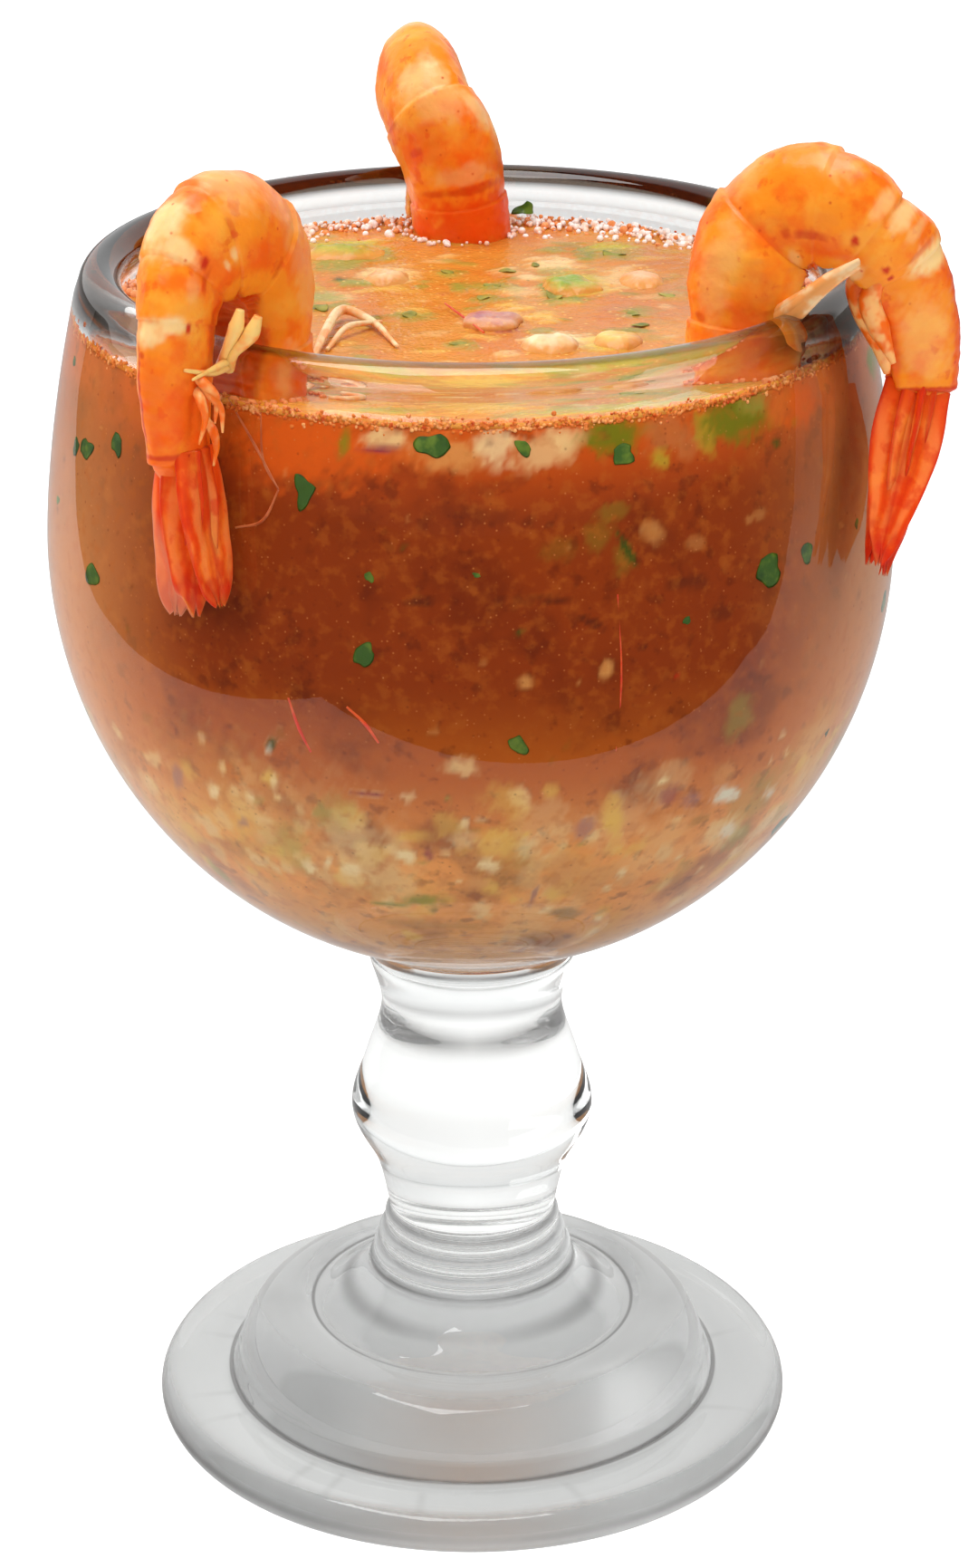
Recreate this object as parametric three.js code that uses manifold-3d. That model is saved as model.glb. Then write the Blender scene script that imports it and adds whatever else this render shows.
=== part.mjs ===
// Shrimp cocktail served in a footed glass goblet, with three cooked shrimp hooked over its rim.
// Millimetres, +Z up. The goblet's axis is x = y = 0 while the pieces are made. At the end the
// group is moved so that the middle of its footprint is at the origin, with the foot on z = 0.
import * as THREE from 'three';
import { mergeVertices } from 'three/addons/utils/BufferGeometryUtils.js';
import Module from 'manifold-3d';

const kernel = await Module();
kernel.setup();

// ---------------------------------------------------------------- driving dimensions
const GAP = 0.3; // clearance between neighbouring pieces
const TRIM_GAP = 0.35; // clearance kept from the rim's roll and the inside of the wall

// Goblet, from the foot up
const GOBLET_SIDES = 40;
const PUNT_RADIUS = 40; // shallow hollow under the foot
const PUNT_DEPTH = 3.6;
const FOOT_RADIUS = 51.1;
const FOOT_EDGE = 3.5; // radius of the rounded edge
const STEP_RADIUS = 39.3; // where the dome steps up from the flange
const STEP_HEIGHT = 6.7;
const STEP_RISE = 1.5;
const STEP_TAPER = 0.9;
const DOME_RADIUS = 37.7;
const RIDGE_RADIUS = 28.9; // crest of the dome
const RIDGE_HEIGHT = 18.2;
const RIDGE_WIDTH = 2.2;
const SHOULDER_RADIUS = 21.5; // between the crest and the stem
const SHOULDER_HEIGHT = 20.6;
const STEM_FILLET = 1.2;
const STEM_FILLET_HEIGHT = 24.6;
const STEM_BASE_RADIUS = 15.8;
const STEM_BASE_HEIGHT = 27.6;
const STEM_STEPS = 2; // small round steps above the stem's base
const STEM_STEP_RISE = 3.1;
const STEM_STEP_EDGE = 0.7; // how far each step draws in over its rounded edge
const NECK_RADIUS = 13.3;
const NECK_HEIGHT = 36;
const KNOP_RADIUS = 19.2;
const KNOP_HEIGHT = 53.2;
const KNOP_SHOULDER = 2.2; // the neck's swell and the knop's draw at the levels beside the knop
const KNOP_LOW = 44.6;
const KNOP_HIGH = 62;
const WAIST_RADIUS = 14.3;
const WAIST_HEIGHT = 71.5;
const COLLAR_RADIUS = 16.1;
const COLLAR_HEIGHT = 79.6;
const COLLAR_FILLET = 2.1;
const COLLAR_TOP = 84.4;
const BOWL_RADIUS = 63.9;
const WIDEST_HEIGHT = 150;
const BOWL_DEPTH = 67; // from the widest level down to the outside's lowest point
const BOWL_FLOOR = 88.5; // height of the inside's lowest point
const WALL = 5.1;
const MOUTH_TAPER = 6.4; // how far the bowl draws in from its widest level to the rim
const MOUTH_CURVE = 1.6;
const RIM_RADIUS = 57.9;
const RIM_HEIGHT = 192.8;
const RIM_ROLL = 3.25; // radius of the rolled rim's section
const RIM_START_HEIGHT = 187.275; // where the outside of the wall meets the rim's roll
const RIM_FOOT_HEIGHT = 185.6; // where the inside of the wall meets the rim's roll
const HOOKED_FROM = 120; // level below every tail

// Broth and what is strewn on it
const BROTH_LEVEL = 184;
const FROTH_BEADS = 16; // beads of froth along the far side of the waterline
const FROTH_RADIUS = 1.1;
const FROTH_FROM = 15; // azimuths in degrees
const FROTH_TO = 170;
const FROTH_LIFT = 0.15;
const HERB_COUNT = 12; // flakes of chopped herb afloat
const HERB_SIZE = 2.1;
const HERB_SUNK = 1;
const HERB_STANDING = 0.5; // how far a flake stands above the broth
const STREWN_RADIUS = 46;

// Shrimp: plate lengths along the guide line from the tail forward, and the depths and widths
// at the joints between them, from the tail root to the cut end. The guide line runs nearer the
// belly than the back, because the body bends there.
const PLATE_LENGTHS = [18.5, 5.2, 5.4, 7.6, 12.4];
const DEPTHS = [11, 14.4, 14.8, 18.6, 18.4, 15.8, 14];
const WIDTHS = [7.6, 9.8, 12, 14.2, 15, 15.6, 14.4];
const BELLY_SHARE = 0.38; // of the depth, between the guide line and the belly
const PLATE_FLARE = 0.06; // a plate widens towards the tail, then steps down to the next one
const PLATE_SWELL = 0.03;
const BELLY_GROOVE = 1.8;
const BODY_SIDES = 14;
const BODY_PAST_ROOT = 4; // how far the body's rounded end reaches into the tail fan
const CUT_END_ROUNDING = 1.2;
const SHRIMP_SUNK = 10; // length of the cut end under the broth's level

// Where each shrimp hooks over the rim: azimuths in degrees about the goblet's axis, the guide
// line's distances from that axis, and the arch that it makes over the rim. Each swimming leg
// is given by its distance forward of the last joint, its reach from the guide line, and its
// direction as shares along the body, out of the back and sideways.
const SHRIMP = {
  shrimp_left: {
    azimuth: { head: -131, crown: -129.8, leg: -127.5, tip: -125 },
    arch: { radius: 55.2, reach: 8.2, lean: 0.6, foot: 194.8, rise: 9.4 },
    headRadius: 46.4,
    root: { radius: 64.8, height: 178.5 },
    tip: { radius: 66.6, height: 155 },
    fanSpread: 1,
    legs: [
      { forward: -1, reach: 9.5, toward: [-0.5, 0.05, -0.85] },
      { forward: 2, reach: 8, toward: [-0.25, -0.1, -0.9] },
    ],
  },
  shrimp_back: {
    azimuth: { head: 93, crown: 98.8, leg: 96, tip: 95 },
    arch: { radius: 56.4, reach: 8.2, lean: 1, foot: 194.4, rise: 9.2 },
    headRadius: 48.4,
    root: { radius: 66.6, height: 178.5 },
    tip: { radius: 67.4, height: 155 },
    fanSpread: 1,
    legs: [],
  },
  shrimp_right: {
    azimuth: { head: -30, crown: -25, leg: -20.5, tip: -33 },
    arch: { radius: 55.8, reach: 8.4, lean: 1.4, foot: 194.6, rise: 9.6 },
    headRadius: 47,
    root: { radius: 66.8, height: 180 },
    tip: { radius: 66.6, height: 155 },
    fanSpread: 0.7,
    legs: [{ forward: 5, reach: 11, toward: [-0.6, -0.6, 0.5] }],
  },
};
const LEG_RADII = [1.6, 1.2, 0.6]; // from the body to the tip
const LEG_ROOT_DEPTH = 2.5; // from the guide line towards the belly

// Blades of the tail fan: how far each leans sideways and towards the back, how it is rolled
// about its length in degrees, its length as a share of the tail, its width and its thickness.
// The middle spike comes first, and each other blade has a twin on the other side.
const FAN_BLADES = [
  { sideways: 0, lift: 0.14, roll: 0, length: 0.62, width: 4, thickness: 3 },
  { sideways: 0.06, lift: 0.09, roll: 32, length: 0.96, width: 8, thickness: 1.8 },
  { sideways: 0.13, lift: 0.01, roll: 68, length: 1, width: 11, thickness: 1.8 },
];
const FAN_OVERLAP = 1.5; // length of each blade's root inside the body
const FAN_ROOT_SPREAD = 11;
const FAN_ROOT_LIFT = 10;

// Chopped pieces afloat: place, size along x, y and z, turn about z in degrees, the share of the
// height that shows above the broth, and how round the corners are (0 is a box, 1 an ellipsoid)
const FLOATING = {
  avocado_slice: { at: [-20, 33], size: [15, 9, 7], turn: 8, showing: 0.22, round: 0.75 },
  avocado_cube: { at: [15, 14], size: [9.5, 10, 8], turn: 25, showing: 0.2, round: 0.5 },
  onion_square: { at: [3.1, -5], size: [8.6, 8, 3.2], turn: -12, showing: 0.4, round: 0.45 },
  pale_chunk: { at: [11.6, -16.8], size: [10, 9.5, 8], turn: 20, showing: 0.24, round: 0.9 },
  yellow_chunk: { at: [21.3, -14.6], size: [7.6, 8.4, 7], turn: -15, showing: 0.2, round: 0.6 },
  far_chunk: { at: [-12.8, 19], size: [9.5, 9, 7], turn: 35, showing: 0.18, round: 0.8 },
  side_chunk: { at: [26, 17.5], size: [8, 9, 7], turn: 10, showing: 0.18, round: 0.7 },
};

const COLOURS = {
  goblet: 0xeef2f1,
  broth: 0xb5622c,
  shrimp_left: 0xf58a35,
  shrimp_back: 0xf58a35,
  shrimp_right: 0xf58a35,
  avocado_slice: 0xb9b54a,
  avocado_cube: 0x7ca544,
  onion_square: 0xb98cae,
  pale_chunk: 0xf4e2c2,
  yellow_chunk: 0xe8cf7c,
  far_chunk: 0xeec29a,
  side_chunk: 0xeab98c,
};

// ---------------------------------------------------------------- helpers
const { degToRad, lerp, smoothstep } = THREE.MathUtils;
const point = (radius, height) => new THREE.Vector2(radius, height);

/** A point by azimuth in degrees, distance from the goblet's axis, and height. */
function polar(azimuth, radius, height) {
  const angle = degToRad(azimuth);
  return new THREE.Vector3(radius * Math.cos(angle), radius * Math.sin(angle), height);
}

/** Numbers from the first to the last in equal steps. */
function spaced(first, last, steps) {
  return Array.from({ length: steps + 1 }, (_, i) => lerp(first, last, i / steps));
}

/** Angles of the corners of a regular ring. */
function ringAngles(sides) {
  return spaced(0, 2 * Math.PI, sides).slice(0, -1);
}

/** Repeatable random numbers from 0 to 1. */
function seededRandom(seed) {
  let state = seed;
  return () => {
    state = (state * 1664525 + 1013904223) % 4294967296;
    return state / 4294967296;
  };
}

/** A closed three.js geometry as a solid that can be joined and cut. */
function toSolid(geometry) {
  geometry.deleteAttribute('normal');
  geometry.deleteAttribute('uv');
  const merged = mergeVertices(geometry, 1e-4);
  const corners = merged.index.array;
  const kept = [];
  for (let i = 0; i < corners.length; i += 3) {
    const [a, b, c] = [corners[i], corners[i + 1], corners[i + 2]];
    if (a !== b && b !== c && c !== a) kept.push(a, b, c);
  }
  const vertProperties = Float32Array.from(merged.attributes.position.array);
  const mesh = new kernel.Mesh({ numProp: 3, vertProperties, triVerts: Uint32Array.from(kept) });
  return new kernel.Manifold(mesh);
}

/** A solid back as a three.js geometry. */
function toGeometry(solid) {
  const mesh = solid.getMesh();
  const geometry = new THREE.BufferGeometry();
  geometry.setAttribute('position', new THREE.BufferAttribute(mesh.vertProperties, 3));
  geometry.setIndex(new THREE.BufferAttribute(mesh.triVerts, 1));
  geometry.computeVertexNormals();
  return geometry;
}

/** The largest body of a solid, without the loose scraps that a cut may leave. */
function largestBody(solid) {
  const bodies = solid.decompose();
  bodies.sort((a, b) => b.volume() - a.volume());
  return bodies[0];
}

/** A profile of (radius, height) points turned about the z axis. */
function turned(profile) {
  const geometry = new THREE.LatheGeometry(profile, GOBLET_SIDES);
  geometry.rotateX(Math.PI / 2);
  return toSolid(geometry);
}

/** The middle of a ring of points. */
function middleOf(ring) {
  const sum = new THREE.Vector3();
  ring.forEach((corner) => sum.add(corner));
  return sum.divideScalar(ring.length);
}

/** A closed body through rings of points, each ring with the same number of them. */
function loft(rings) {
  const sides = rings[0].length;
  const points = [...rings.flat(), middleOf(rings[0]), middleOf(rings.at(-1))];
  const [startMiddle, endMiddle] = [points.length - 2, points.length - 1];
  const lastRing = (rings.length - 1) * sides;
  const corners = [];
  for (let side = 0; side < sides; side += 1) {
    const next = (side + 1) % sides;
    for (let here = 0; here < lastRing; here += sides) {
      const there = here + sides;
      corners.push(here + side, here + next, there + side);
      corners.push(here + next, there + next, there + side);
    }
    corners.push(startMiddle, next, side);
    corners.push(endMiddle, lastRing + side, lastRing + next);
  }
  const geometry = new THREE.BufferGeometry().setFromPoints(points);
  geometry.setIndex(corners);
  return toSolid(geometry);
}

// ---------------------------------------------------------------- goblet
/** Outside radius of the bowl: a quarter ellipse up to the widest level, then a slow taper. */
function bowlRadius(height) {
  if (height < WIDEST_HEIGHT) {
    const drop = (WIDEST_HEIGHT - height) / BOWL_DEPTH;
    return BOWL_RADIUS * Math.sqrt(1 - drop ** 2);
  }
  const climb = (height - WIDEST_HEIGHT) / (RIM_HEIGHT - WIDEST_HEIGHT);
  return BOWL_RADIUS - MOUTH_TAPER * climb ** MOUTH_CURVE;
}

/** Inside of the bowl from its floor to a given height, set in by an extra clearance. */
function insideProfile(clearance, top) {
  const radius = BOWL_RADIUS - WALL - clearance;
  const depth = WIDEST_HEIGHT - BOWL_FLOOR - clearance;
  const cup = spaced(0, Math.PI / 2, 8).slice(0, -1).map((angle) => (
    point(radius * Math.sin(angle), WIDEST_HEIGHT - depth * Math.cos(angle))
  ));
  const mouth = spaced(WIDEST_HEIGHT, top, 3).map((height) => (
    point(bowlRadius(height) - WALL - clearance, height)
  ));
  return [...cup, ...mouth];
}

/** Foot: a shallow punt, the standing ring, the rounded edge, the step and the dome. */
function footProfile() {
  const punt = [0, 0.6, 1].map((share) => point(PUNT_RADIUS * share, PUNT_DEPTH * (1 - share ** 2)));
  const edge = spaced(-90, 90, 4).map(degToRad).map((angle) => point(
    FOOT_RADIUS - FOOT_EDGE + FOOT_EDGE * Math.cos(angle),
    FOOT_EDGE * (1 + Math.sin(angle)),
  ));
  const stepTop = point(STEP_RADIUS - STEP_TAPER, STEP_HEIGHT + STEP_RISE);
  const dome = spaced(30, 90, 3).map(degToRad).map((angle) => point(
    lerp(RIDGE_RADIUS, DOME_RADIUS, Math.cos(angle)),
    lerp(stepTop.y, RIDGE_HEIGHT, Math.sin(angle)),
  ));
  return [
    ...punt,
    ...edge,
    point(STEP_RADIUS, STEP_HEIGHT),
    stepTop,
    ...dome,
    point(RIDGE_RADIUS - RIDGE_WIDTH, RIDGE_HEIGHT + 0.1),
    point(SHOULDER_RADIUS, SHOULDER_HEIGHT),
    point(STEM_BASE_RADIUS + STEM_FILLET, STEM_FILLET_HEIGHT),
  ];
}

/** Stem: round steps, the neck, the knop, the waist and the collar under the bowl. */
function stemProfile() {
  const steps = spaced(0, STEM_STEPS, STEM_STEPS).flatMap((step) => {
    const radius = lerp(STEM_BASE_RADIUS, NECK_RADIUS, step / (STEM_STEPS + 0.6));
    const height = STEM_BASE_HEIGHT + step * STEM_STEP_RISE;
    return [point(radius, height), point(radius - STEM_STEP_EDGE, height + 0.5)];
  });
  const flow = new THREE.SplineCurve([
    point(NECK_RADIUS, NECK_HEIGHT),
    point(NECK_RADIUS + KNOP_SHOULDER, KNOP_LOW),
    point(KNOP_RADIUS, KNOP_HEIGHT),
    point(KNOP_RADIUS - KNOP_SHOULDER, KNOP_HIGH),
    point(WAIST_RADIUS, WAIST_HEIGHT),
    point(COLLAR_RADIUS, COLLAR_HEIGHT),
  ]);
  const fillet = [
    point(COLLAR_RADIUS + 0.2, COLLAR_HEIGHT + 1.8),
    point(COLLAR_RADIUS + COLLAR_FILLET, COLLAR_TOP),
  ];
  return [...steps, ...flow.getPoints(10), ...fillet];
}

/** Outside of the bowl, from just above the collar to the rim. */
function bowlProfile() {
  const cup = spaced(21, 83.5, 5).map((turn) => (
    WIDEST_HEIGHT - BOWL_DEPTH * Math.cos(degToRad(turn))
  ));
  const mouth = spaced(WIDEST_HEIGHT, RIM_START_HEIGHT, 3);
  return [...cup, ...mouth].map((height) => point(bowlRadius(height), height));
}

/** The rolled rim: a round bead that stands in from the wall, larger by an extra clearance. */
function rimProfile(clearance = 0) {
  const roll = RIM_ROLL + clearance;
  return spaced(0, 219.6, 6).map(degToRad).map((angle) => point(
    RIM_RADIUS - RIM_ROLL + roll * Math.cos(angle),
    RIM_HEIGHT - RIM_ROLL + roll * Math.sin(angle),
  ));
}

function makeGoblet() {
  const inside = insideProfile(0, RIM_FOOT_HEIGHT).reverse();
  return turned([...footProfile(), ...stemProfile(), ...bowlProfile(), ...rimProfile(), ...inside]);
}

/** The upper wall and rim, thicker by the clearance, for trimming what hooks over it. */
function makeRimClearance() {
  const wall = spaced(HOOKED_FROM, RIM_HEIGHT - 3.94 * RIM_ROLL, 6).map((height) => (
    point(bowlRadius(height) + GAP, height)
  ));
  const inside = insideProfile(TRIM_GAP, RIM_FOOT_HEIGHT).filter((p) => p.y > HOOKED_FROM);
  const profile = [...wall, ...rimProfile(TRIM_GAP), ...inside.reverse()];
  return turned([...profile, profile[0].clone()]);
}

// ---------------------------------------------------------------- shrimp
/**
 * Guide of a shrimp: its line from the cut end in the broth, over the rim, to the tip of its
 * tail, how far along that line the tail root is, and the hub that its back faces away from.
 */
function makeGuide({ azimuth, arch, headRadius, root, tip }) {
  const overRim = spaced(10, 170, 5).map((turn) => {
    const angle = degToRad(turn);
    const foot = turn < 90 ? azimuth.head : azimuth.leg;
    const where = lerp(foot, azimuth.crown, Math.sqrt(Math.sin(angle)));
    const radius = arch.radius - arch.reach * Math.cos(angle) - arch.lean * Math.sin(angle);
    return polar(where, radius, arch.foot + arch.rise * Math.sin(angle));
  });
  const tailRoot = polar(azimuth.leg, root.radius, root.height);
  const tailTip = polar(azimuth.tip, tip.radius, tip.height);
  const line = new THREE.CatmullRomCurve3([
    polar(azimuth.head, headRadius, BROTH_LEVEL - SHRIMP_SUNK),
    polar(azimuth.head, headRadius, BROTH_LEVEL),
    ...overRim,
    tailRoot,
    tailTip,
  ], false, 'centripetal');
  const tailLength = tailRoot.distanceTo(tailTip);
  const hub = polar(azimuth.crown, arch.radius, BROTH_LEVEL);
  return { line, tailLength, rootAt: line.getLength() - tailLength, hub };
}

/** Point and directions at a distance along the guide: along, out of the back, sideways. */
function frameAt({ line, hub }, distance) {
  const share = distance / line.getLength();
  const centre = line.getPointAt(share);
  const along = line.getTangentAt(share);
  const back = centre.clone().sub(hub);
  back.addScaledVector(along, -back.dot(along)).normalize();
  const side = new THREE.Vector3().crossVectors(along, back);
  return { centre, along, back, side };
}

/** Cross-section of the body: round back, flat flanks, and a groove along the belly. */
function bodyRing({ centre, back, side }, depth, width) {
  return ringAngles(BODY_SIDES).map((angle) => {
    const narrowing = 1 - 0.1 * (1 - Math.cos(angle));
    const across = (width / 2) * Math.sin(angle) * narrowing;
    const reach = depth * (Math.cos(angle) > 0 ? 1 - BELLY_SHARE : BELLY_SHARE);
    const up = reach * Math.cos(angle) + BELLY_GROOVE * smoothstep(-Math.cos(angle), 0.8, 1);
    return centre.clone().addScaledVector(side, across).addScaledVector(back, up);
  });
}

/** Depth and width of the body at a share of a plate's length forward of its rear edge. */
function bodySize(plate, share) {
  const size = (values) => lerp(values[plate], values[plate + 1], share);
  const flare = 1 + PLATE_FLARE * (0.5 - share) + PLATE_SWELL * Math.sin(Math.PI * share);
  return { depth: size(DEPTHS) * flare, width: size(WIDTHS) * flare };
}

/** The plated body, swept along the guide from the cut end to just past the tail root. */
function makeBody(guide, extra = 0) {
  const { rootAt } = guide;
  const rings = [];
  const addRing = (distance, { depth, width }, scale) => {
    const frame = frameAt(guide, distance);
    rings.push(bodyRing(frame, depth * scale + 2 * extra, width * scale + 2 * extra));
  };
  const tailEnd = bodySize(0, 0);
  addRing(rootAt + BODY_PAST_ROOT, tailEnd, 0.55);
  addRing(rootAt + 0.15 * BODY_PAST_ROOT, tailEnd, 0.85);
  let rearEdge = rootAt;
  PLATE_LENGTHS.forEach((length, plate) => {
    for (const share of [0.02, 0.16, 0.55, 0.97]) {
      addRing(rearEdge - share * length, bodySize(plate, share), 1);
    }
    rearEdge -= length;
  });
  const cutPlate = PLATE_LENGTHS.length;
  for (const share of [0.02, 0.16, 0.55]) {
    addRing(rearEdge * (1 - share), bodySize(cutPlate, share), 1);
  }
  const cutEnd = bodySize(cutPlate, 1);
  addRing(CUT_END_ROUNDING, cutEnd, 0.92);
  addRing(0, cutEnd, 0.6);
  return loft(rings.reverse());
}

/** One blade of the tail fan: a long leaf that widens, then narrows to a blunt tip. */
function makeBlade(start, direction, face, { length, width, thickness }) {
  const across = new THREE.Vector3().crossVectors(direction, face).normalize();
  const normal = new THREE.Vector3().crossVectors(across, direction).normalize();
  const rings = [0, 0.2, 0.45, 0.7, 0.88, 0.97, 1].map((share) => {
    const swell = lerp(0.62, 1, smoothstep(share, 0, 0.45));
    const narrowing = 1 - 0.72 * (Math.max(0, share - 0.3) / 0.7) ** 1.8;
    const thinning = 1.15 - 0.6 * share;
    const centre = start.clone().addScaledVector(direction, share * length);
    return ringAngles(6).map((angle) => {
      const corner = centre.clone();
      corner.addScaledVector(across, (width / 2) * swell * narrowing * Math.cos(angle));
      return corner.addScaledVector(normal, (thickness / 2) * thinning * Math.sin(angle));
    });
  });
  return loft(rings.reverse());
}

/** The tail fan: a pointed middle spike with two blades on each side, nearly closed. */
function makeFan(guide, spread) {
  const { centre, along, back, side } = frameAt(guide, guide.rootAt);
  const toTip = guide.line.getPointAt(1).sub(centre).normalize();
  const twins = FAN_BLADES.slice(1).map((blade) => (
    { ...blade, sideways: -blade.sideways, roll: -blade.roll }
  ));
  return [...FAN_BLADES, ...twins].map((blade) => {
    const direction = toTip.clone().addScaledVector(side, blade.sideways * spread);
    direction.addScaledVector(back, blade.lift * spread).normalize();
    const face = back.clone().multiplyScalar(Math.cos(degToRad(blade.roll)));
    face.addScaledVector(side, Math.sin(degToRad(blade.roll)));
    const start = centre.clone().addScaledVector(along, -FAN_OVERLAP);
    start.addScaledVector(side, blade.sideways * FAN_ROOT_SPREAD);
    start.addScaledVector(back, 1 + blade.lift * FAN_ROOT_LIFT);
    return makeBlade(start, direction, face, { ...blade, length: blade.length * guide.tailLength });
  });
}

/** Swimming legs: short tapered spikes out of the belly. */
function makeLegs(guide, legs) {
  const lastJoint = guide.rootAt - PLATE_LENGTHS[0];
  return legs.map(({ forward, reach, toward }) => {
    const { centre, along, back, side } = frameAt(guide, lastJoint - forward);
    const direction = new THREE.Vector3();
    [along, back, side].forEach((axis, i) => direction.addScaledVector(axis, toward[i]));
    direction.normalize();
    const across = new THREE.Vector3().crossVectors(direction, back).normalize();
    const upward = new THREE.Vector3().crossVectors(across, direction);
    const start = centre.clone().addScaledVector(back, -LEG_ROOT_DEPTH);
    const rings = LEG_RADII.map((radius, step) => {
      const share = step / (LEG_RADII.length - 1);
      const middle = start.clone().addScaledVector(direction, reach * share);
      return ringAngles(5).map((angle) => {
        const corner = middle.clone().addScaledVector(across, radius * Math.cos(angle));
        return corner.addScaledVector(upward, radius * Math.sin(angle));
      });
    });
    return loft(rings.reverse());
  });
}

/** One shrimp, trimmed clear of the rim, and the space to leave round it in the broth. */
function makeShrimp(hook, rimClearance) {
  const guide = makeGuide(hook);
  const pieces = [makeBody(guide), ...makeFan(guide, hook.fanSpread), ...makeLegs(guide, hook.legs)];
  const whole = pieces.reduce((sum, piece) => sum.add(piece));
  return {
    solid: largestBody(whole.subtract(rimClearance)),
    space: makeBody(guide, GAP),
  };
}

// ---------------------------------------------------------------- broth and what floats in it
/** A chopped piece: a ball pulled out towards a box, as far as its corners are sharp. */
function makeChunk({ at, size, turn, showing, round }, extra = 0) {
  const geometry = new THREE.SphereGeometry(1, 10, 6);
  const position = geometry.attributes.position;
  const power = lerp(0.35, 1, round);
  const shaped = (value) => Math.sign(value) * Math.abs(value) ** power;
  const [length, depth, height] = size.map((extent) => extent / 2 + extra);
  const corner = new THREE.Vector3();
  for (let i = 0; i < position.count; i += 1) {
    corner.fromBufferAttribute(position, i);
    const level = Math.hypot(corner.x, corner.z) || 1;
    const rim = shaped(level);
    corner.set(rim * shaped(corner.x / level), shaped(corner.y), rim * shaped(corner.z / level));
    position.setXYZ(i, length * corner.x, height * corner.y, depth * corner.z);
  }
  geometry.rotateX(Math.PI / 2);
  geometry.rotateZ(degToRad(turn));
  geometry.translate(at[0], at[1], BROTH_LEVEL + (showing - 0.5) * size[2]);
  return toSolid(geometry);
}

/** One flake of herb that floats flat: a thin leaf with a wavy edge. */
function makeHerb(place, size, turn) {
  const outline = ringAngles(6).map((angle, i) => {
    const reach = size * (i % 2 ? 0.75 : 1);
    return point(reach * Math.cos(angle), 0.7 * reach * Math.sin(angle));
  });
  const geometry = new THREE.ExtrudeGeometry(new THREE.Shape(outline), {
    depth: HERB_SUNK + HERB_STANDING,
    bevelEnabled: false,
  });
  geometry.rotateZ(turn);
  geometry.translate(place.x, place.y, BROTH_LEVEL - HERB_SUNK);
  return toSolid(geometry);
}

/** Herb flakes at random places that the test finds free. */
function makeHerbs(isFree) {
  const random = seededRandom(11);
  const flakes = [];
  while (flakes.length < HERB_COUNT) {
    const radius = STREWN_RADIUS * Math.sqrt(random());
    const place = polar(360 * random(), radius, 0);
    const turn = 2 * Math.PI * random();
    const size = HERB_SIZE * lerp(0.6, 1.15, random());
    if (isFree(place, size * 1.4)) flakes.push(makeHerb(place, size, turn));
  }
  return flakes;
}

/** Froth: beads in an uneven row along the far side of the waterline. */
function makeFroth(isFree) {
  const random = seededRandom(5);
  const shore = bowlRadius(BROTH_LEVEL) - WALL - GAP;
  const beads = [];
  for (let i = 0; i < FROTH_BEADS; i += 1) {
    const size = FROTH_RADIUS * lerp(0.7, 1.2, random());
    const azimuth = lerp(FROTH_FROM, FROTH_TO, (i + random()) / FROTH_BEADS);
    const place = polar(azimuth, shore - size - 0.8 * random(), 0);
    if (isFree(place, size + GAP)) {
      const bead = new THREE.IcosahedronGeometry(size, 0);
      bead.translate(place.x, place.y, BROTH_LEVEL + FROTH_LIFT);
      beads.push(toSolid(bead));
    }
  }
  return beads;
}

/** The broth, cut round the shrimp and the floating pieces, with herbs and froth on top. */
function makeBroth(spaces) {
  const liquid = turned([...insideProfile(GAP, BROTH_LEVEL), point(0, BROTH_LEVEL)]);
  const isFree = (place, reach) => {
    const disc = new THREE.CylinderGeometry(reach, reach, 2, 8);
    disc.rotateX(Math.PI / 2);
    disc.translate(place.x, place.y, BROTH_LEVEL);
    const test = toSolid(disc);
    return spaces.every((space) => test.intersect(space).volume() === 0);
  };
  const strewn = [...makeHerbs(isFree), ...makeFroth(isFree)];
  const topped = strewn.reduce((sum, bit) => sum.add(bit), liquid);
  return largestBody(spaces.reduce((left, space) => left.subtract(space), topped));
}

// ---------------------------------------------------------------- assembly
const cocktail = new THREE.Group();

function addPiece(name, solid, look = {}) {
  const material = new THREE.MeshStandardMaterial({ color: COLOURS[name], roughness: 0.35, ...look });
  const mesh = new THREE.Mesh(toGeometry(solid), material);
  mesh.name = name;
  cocktail.add(mesh);
}

const rimClearance = makeRimClearance();
const shrimp = Object.entries(SHRIMP).map(([name, hook]) => [name, makeShrimp(hook, rimClearance)]);
const chunks = Object.entries(FLOATING);
const spaces = [
  ...shrimp.map(([, made]) => made.space),
  ...chunks.map(([, chunk]) => makeChunk(chunk, GAP)),
];

addPiece('goblet', makeGoblet(), { roughness: 0.05, transparent: true, opacity: 0.35 });
addPiece('broth', makeBroth(spaces), { roughness: 0.25 });
for (const [name, made] of shrimp) addPiece(name, made.solid);
for (const [name, chunk] of chunks) addPiece(name, makeChunk(chunk));

const extent = new THREE.Box3().setFromObject(cocktail);
const footprint = extent.getCenter(new THREE.Vector3());
cocktail.position.set(-footprint.x, -footprint.y, -extent.min.z);

export default cocktail;
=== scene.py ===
"""Looks of a shrimp cocktail in a footed glass goblet.

Every piece is a surface worked out with numpy. Lengths are millimetres about the goblet's axis,
heights are above the surface it stands on, and azimuths are degrees about the axis, with -90
towards the viewer. A piece's place becomes metres in the frame when its mesh is made.
"""
import math

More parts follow.
